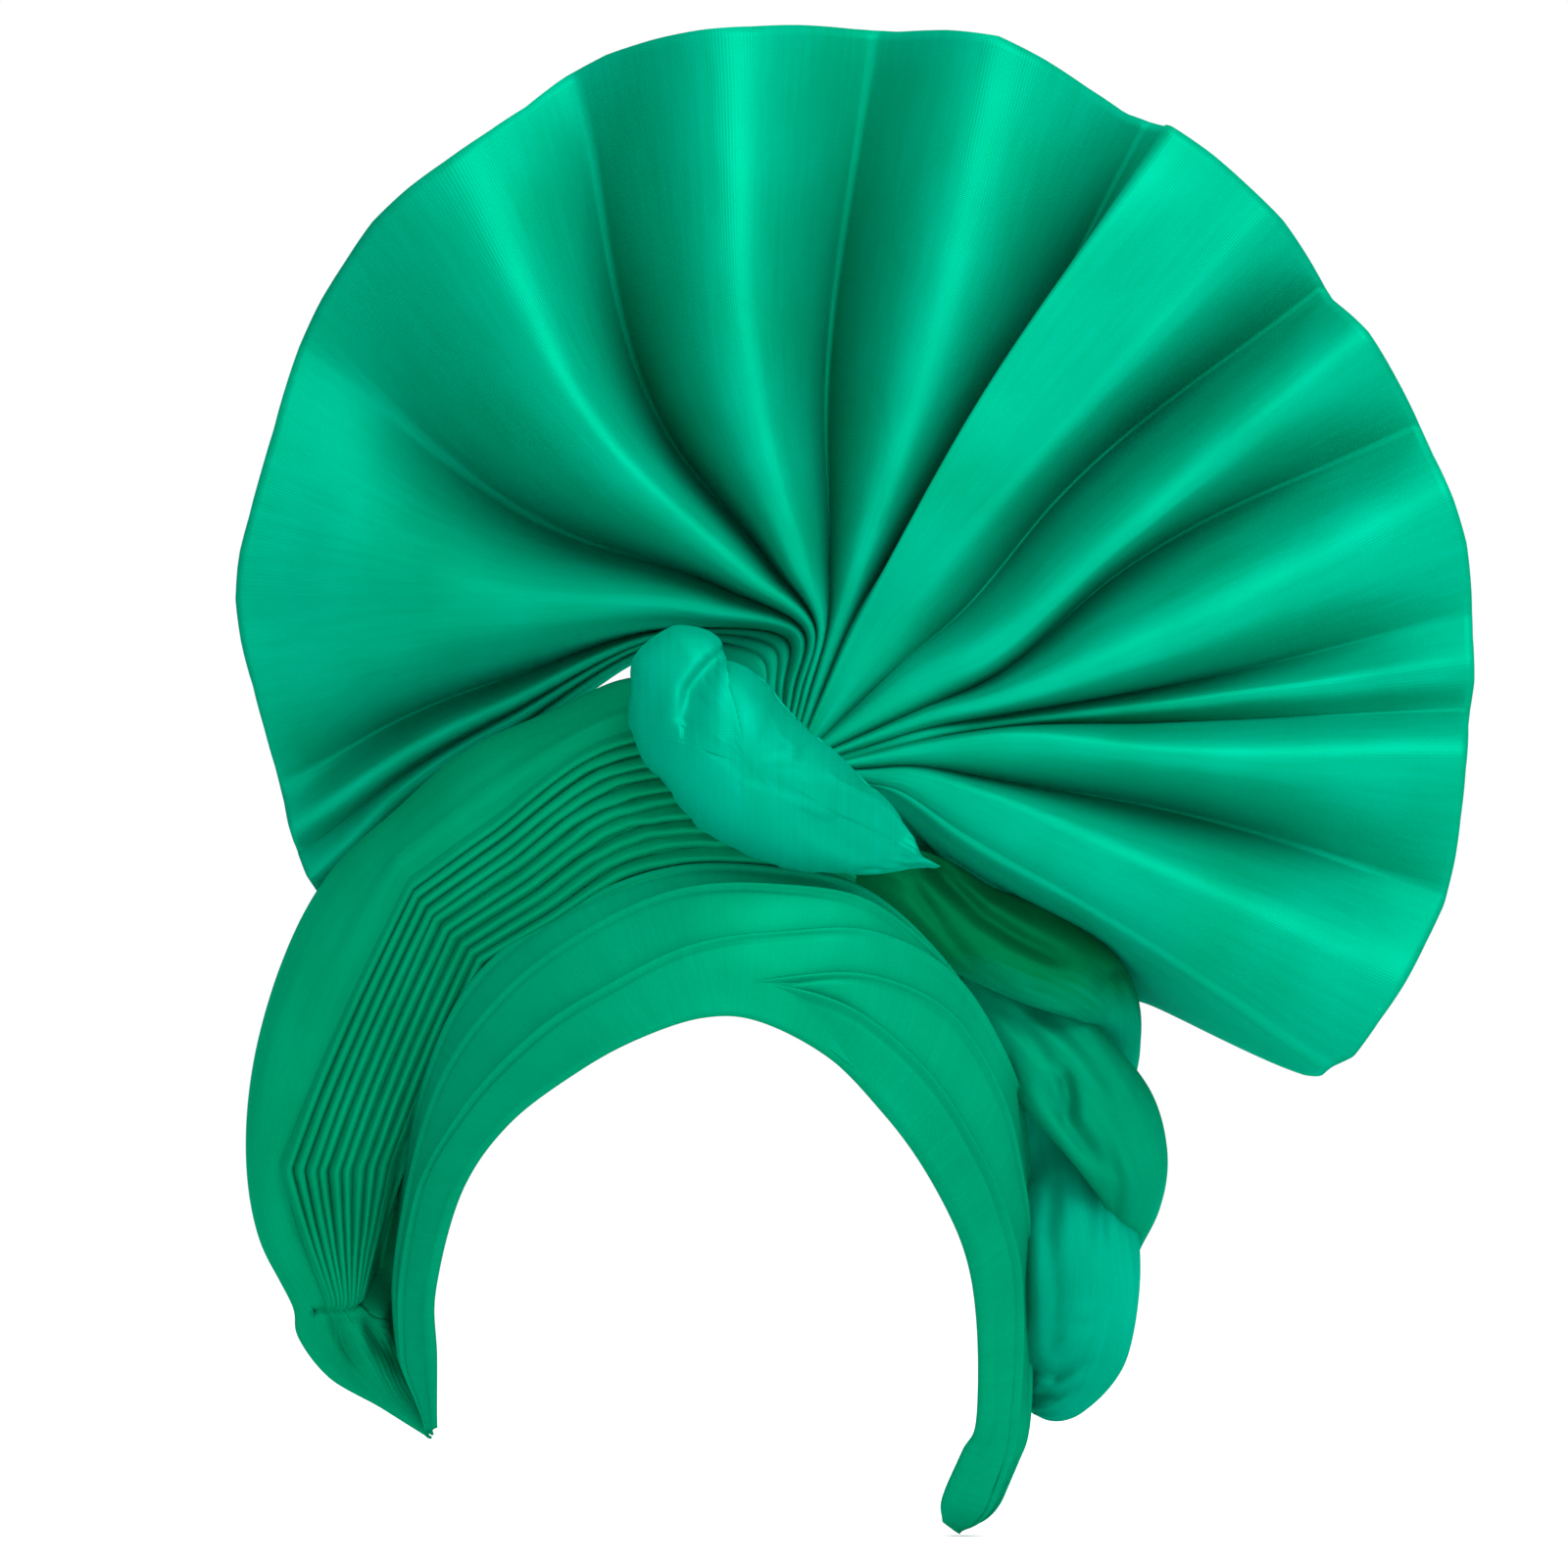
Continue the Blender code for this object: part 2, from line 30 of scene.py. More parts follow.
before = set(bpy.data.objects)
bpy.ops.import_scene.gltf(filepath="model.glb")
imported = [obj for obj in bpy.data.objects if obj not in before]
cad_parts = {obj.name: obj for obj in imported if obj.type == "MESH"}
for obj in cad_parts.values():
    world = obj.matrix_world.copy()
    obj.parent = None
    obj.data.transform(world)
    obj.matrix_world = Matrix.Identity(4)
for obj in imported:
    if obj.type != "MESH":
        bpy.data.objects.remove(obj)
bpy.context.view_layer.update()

mm = 0.001
cloth = {"uvMetres": 2.0}  # one unit of a UV map is this much cloth
arch = {"halfWidth": 80 * mm, "height": 120 * mm, "depth": 88 * mm}  # the face opening


# Small helpers

def unit(vectors):
    # each vector divided by its own length
    return vectors / np.maximum(np.linalg.norm(vectors, axis=-1, keepdims=True), 1e-9)


def curveThrough(values, at, places=None):
    # Smooth curve through table rows: cubic between rows, with the slope at each row taken
    # from its two neighbours. Rows may hold one curve for each number of at.
    values = np.asarray(values, float)
    at = np.atleast_1d(np.asarray(at, float))
    places = np.arange(len(values), dtype=float) if places is None else np.asarray(places, float)
    slopes = np.gradient(values, places, axis=0)
    at = np.clip(at, places[0], places[-1])
    left = np.clip(np.searchsorted(places, at, side="right") - 1, 0, len(places) - 2)
    span = places[left + 1] - places[left]
    part = (at - places[left]) / span
    weights = (
        2 * part**3 - 3 * part**2 + 1,
        (part**3 - 2 * part**2 + part) * span,
        -2 * part**3 + 3 * part**2,
        (part**3 - part**2) * span,
    )
    here, there = left, left + 1
    if values.ndim == 3:
        column = np.arange(len(at))
        here, there = (left, column), (left + 1, column)
    rows = (values[here], slopes[here], values[there], slopes[there])
    extra = (1,) * (rows[0].ndim - 1)
    return sum(weight.reshape(-1, *extra) * row for weight, row in zip(weights, rows))


def archPoint(shares):
    # shares of the arch's half width, height and depth, in the order x, z, y, as a point
    x, z, y = np.moveaxis(np.asarray(shares, float), -1, 0)
    return np.stack((x * arch["halfWidth"], y * arch["depth"], z * arch["height"]), axis=-1)


def smoothStep(low, high, value):
    # 0 below low, 1 above high, and an S curve between
    part = np.clip((value - low) / (high - low), 0, 1)
    return part * part * (3 - 2 * part)


def bell(value, middle, width):
    # 1 at the middle and falling to nothing over about two widths
    return np.exp(-(((value - middle) / width) ** 2))


def creaseDepth(flat, creases):
    # Grooves along paths of x, z points: each is as deep as stated on its path, falls off as
    # a bell of the distance to the path and fades out at both of its ends. One with a second
    # width, right, is that wide on the right of a path that runs down.
    total = np.zeros(flat.shape[:-1])
    for crease in creases:
        path = np.array(crease["path"]) * mm
        start, heading = path[:-1], np.diff(path, axis=0)
        offset = flat[..., None, :] - start
        part = np.clip((offset * heading).sum(-1) / (heading**2).sum(-1), 0, 1)
        away = np.linalg.norm(offset - part[..., None] * heading, axis=-1)
        nearest = away.argmin(-1)[..., None]
        along = (nearest + np.take_along_axis(part, nearest, -1))[..., 0] / len(start)
        fade = np.sqrt(np.clip(4 * along * (1 - along) + crease.get("open", 0.15), 0, 1))
        turned = heading[:, 0] * offset[..., 1] - heading[:, 1] * offset[..., 0]
        side = np.take_along_axis(turned, nearest, -1)[..., 0]
        wide = np.where(side > 0, crease.get("right", crease["wide"]), crease["wide"]) * mm
        total += crease["deep"] * mm * np.exp(-((away.min(-1) / wide) ** 2)) * fade
    return total


def gridOf(columns, rows):
    # two flat arrays that run over a grid from 0 to 1, column by column
    u, v = np.meshgrid(np.linspace(0, 1, columns + 1), np.linspace(0, 1, rows + 1), indexing="ij")
    return u.ravel(), v.ravel()


def surfaceUv(points):
    # distance along the cloth both ways, averaged over the grid, as the UV map
    alongU = np.linalg.norm(np.diff(points, axis=0), axis=2).mean(axis=1)
    alongV = np.linalg.norm(np.diff(points, axis=1), axis=2).mean(axis=0)
    u = np.concatenate(([0], np.cumsum(alongU))) / cloth["uvMetres"]
    v = np.concatenate(([0], np.cumsum(alongV))) / cloth["uvMetres"]
    return np.stack(np.meshgrid(u, v, indexing="ij"), axis=-1)


def meshFromGrid(name, points, closed=False, uv=None):
    # A grid of points as quads. A closed grid joins its last column to its first, and its
    # end rows, which are single points, become poles. Without uv the map follows the cloth.
    if uv is None:
        uv = surfaceUv(np.concatenate((points, points[:1])) if closed else points)
    columns, rows = points.shape[:2]
    index = np.arange(columns * rows).reshape(columns, rows)
    nextIndex = np.roll(index, -1, axis=0) if closed else index[1:]
    index = index if closed else index[:-1]
    quads = np.stack((index[:, :-1], nextIndex[:, :-1], nextIndex[:, 1:], index[:, 1:]), axis=-1)
    uvQuads = np.stack((uv[:-1, :-1], uv[1:, :-1], uv[1:, 1:], uv[:-1, 1:]), axis=-2)
    quads, uvQuads = quads.reshape(-1, 4), uvQuads.reshape(-1, 4, 2)
    mesh = bpy.data.meshes.new(name)
    mesh.from_pydata(points.reshape(-1, 3).tolist(), [], quads.tolist())
    layer = mesh.uv_layers.new(name="clothUv")
    layer.data.foreach_set("uv", np.ascontiguousarray(uvQuads, dtype=np.float32).ravel())
    mesh.update()
    piece = bpy.data.objects.new(name, mesh)
    bpy.context.scene.collection.objects.link(piece)
    if closed:
        weldPoles(piece)
    mesh.shade_smooth()
    return piece


def weldPoles(piece):
    # merges the repeated points at the two ends and turns every face outward
    work = bmesh.new()
    work.from_mesh(piece.data)
    bmesh.ops.remove_doubles(work, verts=work.verts, dist=0.00001)
    bmesh.ops.recalc_face_normals(work, faces=work.faces)
    work.to_mesh(piece.data)
    work.free()


def clothWall(piece, thickness):
    # gives an open sheet its thickness, half to each side, and applies it
    wall = piece.modifiers.new("wall", "SOLIDIFY")
    wall.thickness = thickness
    wall.offset = 0.0
    wall.use_rim = True
    bpy.context.view_layer.objects.active = piece
    bpy.ops.object.modifier_apply(modifier=wall.name)
    piece.data.shade_smooth()


def meanLength(points):
    # length along the first direction of the grid, averaged over its rows
    return float(np.linalg.norm(np.diff(points, axis=0), axis=2).sum(axis=0).mean())


def cadName(name):
    # the solid's name for a piece, such as brow_base for browBase
    return "".join("_" + letter.lower() if letter.isupper() else letter for letter in name)


def dress(piece, material, node):
    # material, body and the solid that the piece stands for
    piece.data.materials.clear()
    piece.data.materials.append(material)
    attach(piece, "root")
    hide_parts(node)


# Cloth simulation of the padded pieces

relax = {
    "frames": 20,
    "pressure": 2.0,       # a little air inside
    "growth": 0.03,        # share of cloth that the drawn shape doesn't need, so that it puckers
    "bending": 2.0,
    "stretching": 12.0,
    "pointMass": 0.2,
    "quality": 5,
    "endRings": 2,         # left out at each end, where the points crowd
}


def clothMovement(coarse, pinnedRings):
    # How far Blender's Cloth moves each point of a tube that is closed at both ends and has
    # some rings pinned. The tube and its simulation are removed again.
    around, rings = coarse.shape[:2]
    index = np.arange(around * rings).reshape(around, rings)
    ahead = np.roll(index, -1, axis=0)
    quads = np.stack((index[:, :-1], ahead[:, :-1], ahead[:, 1:], index[:, 1:]), axis=-1).reshape(-1, 4)
    ends = [index[:, 0].tolist(), index[:, -1].tolist()]
    mesh = bpy.data.meshes.new("relaxing")
    mesh.from_pydata(coarse.reshape(-1, 3).tolist(), [], quads.tolist() + ends)
    pillow = bpy.data.objects.new("relaxing", mesh)
    bpy.context.scene.collection.objects.link(pillow)
    weldPoles(pillow)
    pinned = pillow.vertex_groups.new(name="pinned")
    pinned.add(index[:, list(pinnedRings)].ravel().tolist(), 1.0, "REPLACE")
    settings = pillow.modifiers.new("cloth", "CLOTH").settings
    settings.quality = relax["quality"]
    settings.mass = relax["pointMass"]
    settings.tension_stiffness = relax["stretching"]
    settings.compression_stiffness = relax["stretching"]
    settings.bending_stiffness = relax["bending"]
    settings.shrink_min = -relax["growth"]
    settings.use_pressure = True
    settings.uniform_pressure_force = relax["pressure"]
    settings.vertex_group_mass = "pinned"
    settings.effector_weights.gravity = 0.0
    for number in range(1, relax["frames"] + 1):
        bpy.context.scene.frame_set(number)
    found = pillow.evaluated_get(bpy.context.evaluated_depsgraph_get()).data
    moved = np.empty(len(found.vertices) * 3)
    found.vertices.foreach_get("co", moved)
    bpy.data.objects.remove(pillow)
    bpy.data.meshes.remove(mesh)
    bpy.context.scene.frame_set(1)
    return moved.reshape(around, rings, 3) - coarse


def relaxedCloth(points, cap, every, pinnedRings):
    # Every few points of a closed surface are simulated. Each point's movement, capped, is
    # spread over the fine surface by cubic curves.
    tip = relax["endRings"]
    coarse = points[::every, tip:-tip:every]
    around, rings = coarse.shape[:2]
    moved = clothMovement(coarse, pinnedRings)
    length = np.linalg.norm(moved, axis=-1, keepdims=True)
    moved = moved * np.minimum(1.0, cap / np.maximum(length, 1e-9))
    mean, largest = length.mean() / mm, length.max() / mm
    print(f"cloth relaxed, mean movement {mean:.2f} mm, largest {largest:.1f} mm before the cap")
    # each end ring's mean movement goes to its pole
    ends = [np.broadcast_to(moved[:, k].mean(axis=0), (around, 1, 3)) for k in (0, -1)]
    moved = np.concatenate((ends[0], moved, ends[1]), axis=1)
    places = np.concatenate(([0], tip + every * np.arange(rings), [points.shape[1] - 1]))
    along = np.interp(np.arange(points.shape[1]), places, np.arange(rings + 2))
    moved = curveThrough(moved.transpose(1, 0, 2).reshape(rings + 2, -1), along)
    moved = moved.reshape(-1, around, 3).transpose(1, 0, 2)
    loop = np.concatenate((moved[-2:], moved, moved[:2])).reshape(around + 4, -1)
    return points + curveThrough(loop, np.arange(points.shape[0]) / every + 2).reshape(points.shape)


# Satin

def linearColour(hexText):
    # sRGB hex to the linear colour that shaders use
    parts = np.array([int(hexText[k:k + 2], 16) / 255 for k in (1, 3, 5)])
    linear = np.where(parts <= 0.04045, parts / 12.92, ((parts + 0.055) / 1.055) ** 2.4)
    return (*linear.tolist(), 1.0)


def addNode(tree, kind, settings=None, links=None):
    # adds a node, sets its properties and socket values, and links its inputs
    node = tree.nodes.new(kind)
    for key, value in (settings or {}).items():
        if isinstance(key, str) and hasattr(node, key):
            setattr(node, key, value)
        else:
            node.inputs[key].default_value = value
    for key, socket in (links or {}).items():
        tree.links.new(socket, node.inputs[key])
    return node


satin = {
    "base": "#009075",        # green satin in even light
    "deep": "#006A3F",        # the same cloth where the warp shows more; also the colour of the painted shade that a height range brings in
    "toneStart": 0.12,        # share of base, before what the patches and the slubs add
    "patchTone": 0.55,
    "slubTone": 0.35,
    "paintedShadeFall": 0.7,          # painted shade: taken off that share above the heights of the painted shade range, if any
    "highlight": "#18F0DC",   # the blue-green gloss of the floating threads
    "sheen": "#10E0C0",
    "sheenWeight": 0.06,
    "sheenRoughness": 0.45,
    "roughness": 0.46,
    "roughnessSpread": 0.16,
    "specular": 0.0,          # no white gloss at the edges; the threads give it all
    "metallic": 0.31,
    "ior": 1.5,
    "patchSize": 38 * mm,
    "slubLength": 26 * mm,
    "slubWidth": 1.4 * mm,
    "threadSpacing": 0.9 * mm,  # really 0.2 mm: drawn coarser so that it shows at all
    "weaveBump": 0.05 * mm,
    "weaveStrength": 0.6,
    "crushSize": 11 * mm,
    "crushStretch": 2.2,
    "crushBump": 0.50 * mm,
    "crushStrength": 0.7,
}


def wovenSatin(name, changes):
    # Polyester satin, woven with long floating threads: it gives broad soft highlights that
    # turn blue-green, fine streaks along the threads and faint crush marks.
    look = {**satin, **changes}
    material = bpy.data.materials.new(name)
    material.use_nodes = True
    tree = material.node_tree
    tree.nodes.clear()
    uv = addNode(tree, "ShaderNodeUVMap", {"uv_map": "clothUv"}).outputs["UV"]
    # the size of one mark of each pattern, across and along the threads
    marks = {
        "patch": (look["patchSize"], look["patchSize"]),
        "slub": (look["slubWidth"], look["slubLength"]),
        "crush": (look["crushSize"], look["crushSize"] * look["crushStretch"]),
        "thread": (look["threadSpacing"] / 2, look["threadSpacing"] / 2),
    }
    on = {}
    for mark, (across, along) in marks.items():
        scale = (cloth["uvMetres"] / across, cloth["uvMetres"] / along, 1.0)
        on[mark] = addNode(tree, "ShaderNodeMapping", {"Scale": scale}, {"Vector": uv}).outputs
    patches = addNode(
        tree,
        "ShaderNodeTexNoise",
        {"Scale": 1.0, "Detail": 2.0, "Roughness": 0.5},
        {"Vector": on["patch"]["Vector"]},
    )
    slubs = addNode(
        tree,
        "ShaderNodeTexNoise",
        {"Scale": 1.0, "Detail": 3.0, "Roughness": 0.55},
        {"Vector": on["slub"]["Vector"]},
    )
    crush = addNode(
        tree,
        "ShaderNodeTexNoise",
        {"Scale": 1.0, "Detail": 2.0, "Roughness": 0.45, "Distortion": 0.6},
        {"Vector": on["crush"]["Vector"]},
    )
    bands = {"wave_type": "BANDS", "wave_profile": "SIN", "Scale": 1.0 / math.pi, "Distortion": 0.3}
    warp = addNode(
        tree,
        "ShaderNodeTexWave",
        {**bands, "bands_direction": "X"},
        {"Vector": on["thread"]["Vector"]},
    )
    weft = addNode(
        tree,
        "ShaderNodeTexWave",
        {**bands, "bands_direction": "Y"},
        {"Vector": on["thread"]["Vector"]},
    )
    tone = addNode(
        tree,
        "ShaderNodeMath",
        {"operation": "MULTIPLY_ADD", 1: look["patchTone"], 2: look["toneStart"]},
        {0: patches.outputs["Fac"]},
    )
    if "paintedShadeBetween" in look:
        # painted shade: the colour turns deep as the height goes from the first to the second value
        low, high = look["paintedShadeBetween"]
        place = addNode(tree, "ShaderNodeTexCoord").outputs["Object"]
        height = addNode(tree, "ShaderNodeSeparateXYZ", {}, {"Vector": place}).outputs["Z"]
        fall = addNode(
            tree,
            "ShaderNodeMapRange",
            {"From Min": low, "From Max": high, "To Min": 0.0, "To Max": -look["paintedShadeFall"]},
            {"Value": height},
        )
        tone = addNode(
            tree,
            "ShaderNodeMath",
            {"operation": "ADD"},
            {0: tone.outputs["Value"], 1: fall.outputs["Result"]},
        )
    toneSlub = addNode(
        tree,
        "ShaderNodeMath",
        {"operation": "MULTIPLY_ADD", 1: look["slubTone"]},
        {0: slubs.outputs["Fac"], 2: tone.outputs["Value"]},
    )
    colour = addNode(
        tree,
        "ShaderNodeMix",
        {"data_type": "RGBA", "clamp_factor": True},
        {0: toneSlub.outputs["Value"]},
    )
    # the two colours of the mix; sockets 6 and 7 are its A and B for colours
    colour.inputs[6].default_value = linearColour(look["deep"])
    colour.inputs[7].default_value = linearColour(look["base"])
    spread = look["roughnessSpread"]
    gloss = addNode(
        tree,
        "ShaderNodeMath",
        {"operation": "MULTIPLY_ADD", 1: spread, 2: look["roughness"] - spread / 2},
        {0: slubs.outputs["Fac"]},
    )
    threads = addNode(
        tree,
        "ShaderNodeMath",
        {"operation": "ADD"},
        {0: warp.outputs["Fac"], 1: weft.outputs["Fac"]},
    )
    weaveBump = addNode(
        tree,
        "ShaderNodeBump",
        {"Strength": look["weaveStrength"], "Distance": look["weaveBump"]},
        {"Height": threads.outputs["Value"]},
    )
    crushBump = addNode(
        tree,
        "ShaderNodeBump",
        {"Strength": look["crushStrength"], "Distance": look["crushBump"]},
        {"Height": crush.outputs["Fac"], "Normal": weaveBump.outputs["Normal"]},
    )
    shader = addNode(
        tree,
        "ShaderNodeBsdfPrincipled",
        {
            "IOR": look["ior"],
            "Metallic": look["metallic"],
            "Specular IOR Level": look["specular"],
            "Specular Tint": linearColour(look["highlight"]),
            "Sheen Weight": look["sheenWeight"],
            "Sheen Roughness": look["sheenRoughness"],
            "Sheen Tint": linearColour(look["sheen"]),
        },
        {
            "Base Color": colour.outputs[2],
            "Roughness": gloss.outputs["Value"],
            "Normal": crushBump.outputs["Normal"],
        },
    )
    addNode(tree, "ShaderNodeOutputMaterial", {}, {"Surface": shader.outputs["BSDF"]})
    return material


# Brow folds

brow = {
    # a darker copy of the satin: painted shade, so the brow's top, where the key light falls, is less
    # bright
    "satin": {"base": "#008463", "deep": "#00643C", "metallic": 0.26},
    "bulge": 2.5 * mm,
    "step": 2.2 * mm,        # from one layer to the next at the outer edge
    "innerStep": 0.85 * mm,  # the same at the inner edge, where the folds are pulled tight
    "wall": 0.6 * mm,
    "edgeBead": 0.80 * mm,   # a folded edge stands up a little, with a shallow groove beside it
    "beadWidth": 0.8 * mm,
    "meanWidth": 45 * mm,    # turns a share across the brow into a distance from the edge
    "wave": 0.16 * mm,
    "smallWave": 0.10 * mm,
    "together": 0.42,        # the layers lie this much closer at both tips
    "hemLength": 5.0 * mm,   # turned in behind the lowest folds
    "hemRows": 0.30,         # share of the grid's rows in a hem
    "baseStart": 0.012,      # share across at which the base begins
    "foldStart": 0.03,       # and the folds laid over it
    "columns": 300,
    "rows": 44,
    # inner x, z, y and outer x, z, y from the left tip over the arch to the right tip
    "stations": (
        (-0.990, -1.012, 0.24, -1.000, -1.030, 0.28),
        (-0.99, -0.83, 0.10, -1.11, -0.81, 0.43),
        (-0.99, -0.67, -0.02, -1.14, -0.63, 0.40),
        (-0.89, -0.43, -0.28, -1.09, -0.38, 0.17),
        (-0.71, -0.26, -0.62, -1.01, -0.14, -0.16),
        (-0.45, -0.13, -0.86, -0.82, 0.10, -0.45),
        (-0.23, -0.05, -0.96, -0.48, 0.27, -0.68),
        (0.00, 0.00, -1.00, -0.11, 0.36, -0.81),
        (0.20, -0.01, -0.98, 0.25, 0.36, -0.83),
        (0.45, -0.10, -0.86, 0.57, 0.31, -0.76),
        (0.66, -0.24, -0.66, 0.86, 0.14, -0.58),
        (0.82, -0.39, -0.42, 1.05, -0.07, -0.36),
        (0.95, -0.57, -0.16, 1.12, -0.27, -0.06),
        (1.00, -0.75, 0.02, 1.12, -0.61, 0.30),
        (1.00, -0.99, 0.14, 1.12, -0.94, 0.46),
        (0.95, -1.07, 0.20, 1.10, -1.06, 0.46),
        (0.876, -1.19, 0.28, 1.02, -1.19, 0.46),
        (0.874, -1.245, 0.36, 0.905, -1.257, 0.42),
    ),
    # first station of a fold, then where its edge lies across the brow at each station
    "folds": {
        "browFoldLeftUpper": (0, (0.70, 0.66, 0.62, 0.66, 0.72, 0.72, 0.76, 0.82, 0.87, 0.93, 0.97)),
        "browFoldLeftLower": (
            0,
            (0.35, 0.33, 0.30, 0.35, 0.32, 0.33, 0.34, 0.42, 0.54, 0.75, 0.93, 0.97, 0.97, 0.97,
             0.97, 0.60),
        ),
        "browFoldRightUpper": (7, (0.14, 0.24, 0.49, 0.70, 0.72, 0.62, 0.66, 0.66, 0.66, 0.68, 0.75)),
        "browFoldRightLower": (8, (0.22, 0.27, 0.30, 0.30, 0.27, 0.28, 0.24, 0.30, 0.36, 0.45)),
    },
    "hemmed": ("browFoldLeftLower", "browFoldRightLower"),
    # these begin under the fold before them and come out of it, upper edge first
    "emerging": {"browFoldRightUpper": (1.2, 7.3, 8.9), "browFoldRightLower": (1.5, 7.9, 9.0)},
}
browStations = np.array(brow["stations"])


def tipShare(station):
    # 1 along the brow and 0 at both tips
    return smoothStep(0.0, 1.0, station) * (1 - smoothStep(15.6, 17.0, station))


def layersTogether(station):
    # 1 along the brow and the smaller share at both tips
    return brow["together"] + (1 - brow["together"]) * tipShare(station)


def browPoint(station, across, layer=0.0):
    # Straight line from the inner to the outer edge at each station, bulged outward as a
    # parabola, and lifted by whole layers along the outward direction.
    station = np.atleast_1d(np.asarray(station, float))
    inner = archPoint(curveThrough(browStations[:, :3], station))
    outer = archPoint(curveThrough(browStations[:, 3:], station))
    both = browStations[:, :3] + browStations[:, 3:]
    ahead = archPoint(curveThrough(both, station + 0.01)) - archPoint(curveThrough(both, station - 0.01))
    outward = unit(np.cross(ahead, outer - inner))
    across = np.asarray(across, float).reshape(-1, 1)
    layer = np.asarray(layer, float).reshape(-1, 1)
    step = brow["innerStep"] + (brow["step"] - brow["innerStep"]) * smoothStep(0.0, 0.35, across)
    step = np.where(layer < 0, brow["step"], step) * layersTogether(station)[:, None]
    lift = brow["bulge"] * 4 * across * (1 - across) * layersTogether(station)[:, None] + layer * step
    return inner + (outer - inner) * across + outward * lift


def browSurface(first, last, edgeLow, edgeHigh, layer, hemmed, emerging):
    # The band between two shares of the brow's width, with a bead along its upper edge and
    # tension waves (slow sines). A hem is a half circle about the inner edge, from the top
    # of the stack to behind it, and then a flat strip.
    columns, rows = brow["columns"], brow["rows"]
    u, v = gridOf(columns, rows)
    station = first + u * (last - first)
    low, high = edgeLow(station), edgeHigh(station)
    hemRows = brow["hemRows"] if hemmed else 0.0
    face = np.clip((v - hemRows) / (1 - hemRows), 0, 1)
    across = low + (high - low) * face
    if emerging:
        under, begins, ends = emerging
        layer = under + (layer - under) * smoothStep(begins, ends, station - 0.9 * (1 - face))
    fromEdge = (high - across) * brow["meanWidth"] / brow["beadWidth"]
    bead = bell(fromEdge, 0.0, 1.0) - 0.85 * bell(fromEdge, 2.2, 0.8)
    bead = brow["edgeBead"] * bead * layersTogether(station)
    wave = brow["wave"] * np.sin(2.1 * station + 7 * across) * np.sin(0.9 * station + 2 * layer)
    wave = wave + brow["smallWave"] * np.sin(5.3 * station + 3 * across + layer)
    middle = smoothStep(0.0, 0.2, face)
    points = browPoint(station, across, layer)
    above = browPoint(station, across, layer + 1.0)
    outward = unit(above - points)
    points = points + outward * (bead + wave * middle)[:, None]
    if hemmed:
        inward = unit(browPoint(station, low, layer) - browPoint(station, low + 0.05, layer))
        radius = (layer + np.ones_like(station)) * brow["innerStep"] / 2 * layersTogether(station)
        turned = np.clip(1 - v / hemRows, 0, 1)
        bend = np.clip(turned / 0.55, 0, 1) * math.pi
        strip = np.clip((turned - 0.55) / 0.45, 0, 1) * brow["hemLength"] * tipShare(station)
        shift = inward * (radius * np.sin(bend) - strip)[:, None]
        shift = shift - outward * (radius * (1 - np.cos(bend)))[:, None]
        points = np.where((v < hemRows)[:, None], points + shift, points)
    return points.reshape(columns + 1, rows + 1, 3)


def makeBrow():
    # the base, from tip to tip, and the folds over it, each resting on the one before
    def flatShare(share):
        return lambda station: np.full_like(station, share)

    material = wovenSatin("browSatinPaintedShade", brow["satin"])
    low, last = flatShare(brow["baseStart"]), len(browStations) - 1
    surfaces = {"browBase": browSurface(0, last, low, flatShare(1.0), 0.0, False, None)}
    low = flatShare(brow["foldStart"])
    for layer, (name, (first, edges)) in enumerate(brow["folds"].items(), start=1):
        def edge(station, first=first, edges=edges):
            return curveThrough(edges, station - first)

        last = first + len(edges) - 1
        hemmed, emerging = name in brow["hemmed"], brow["emerging"].get(name)
        surfaces[name] = browSurface(first, last, low, edge, layer, hemmed, emerging)
    for name, points in surfaces.items():
        piece = meshFromGrid(name, points)
        clothWall(piece, brow["wall"])
        dress(piece, material, cadName(name))


# Pleated wrap

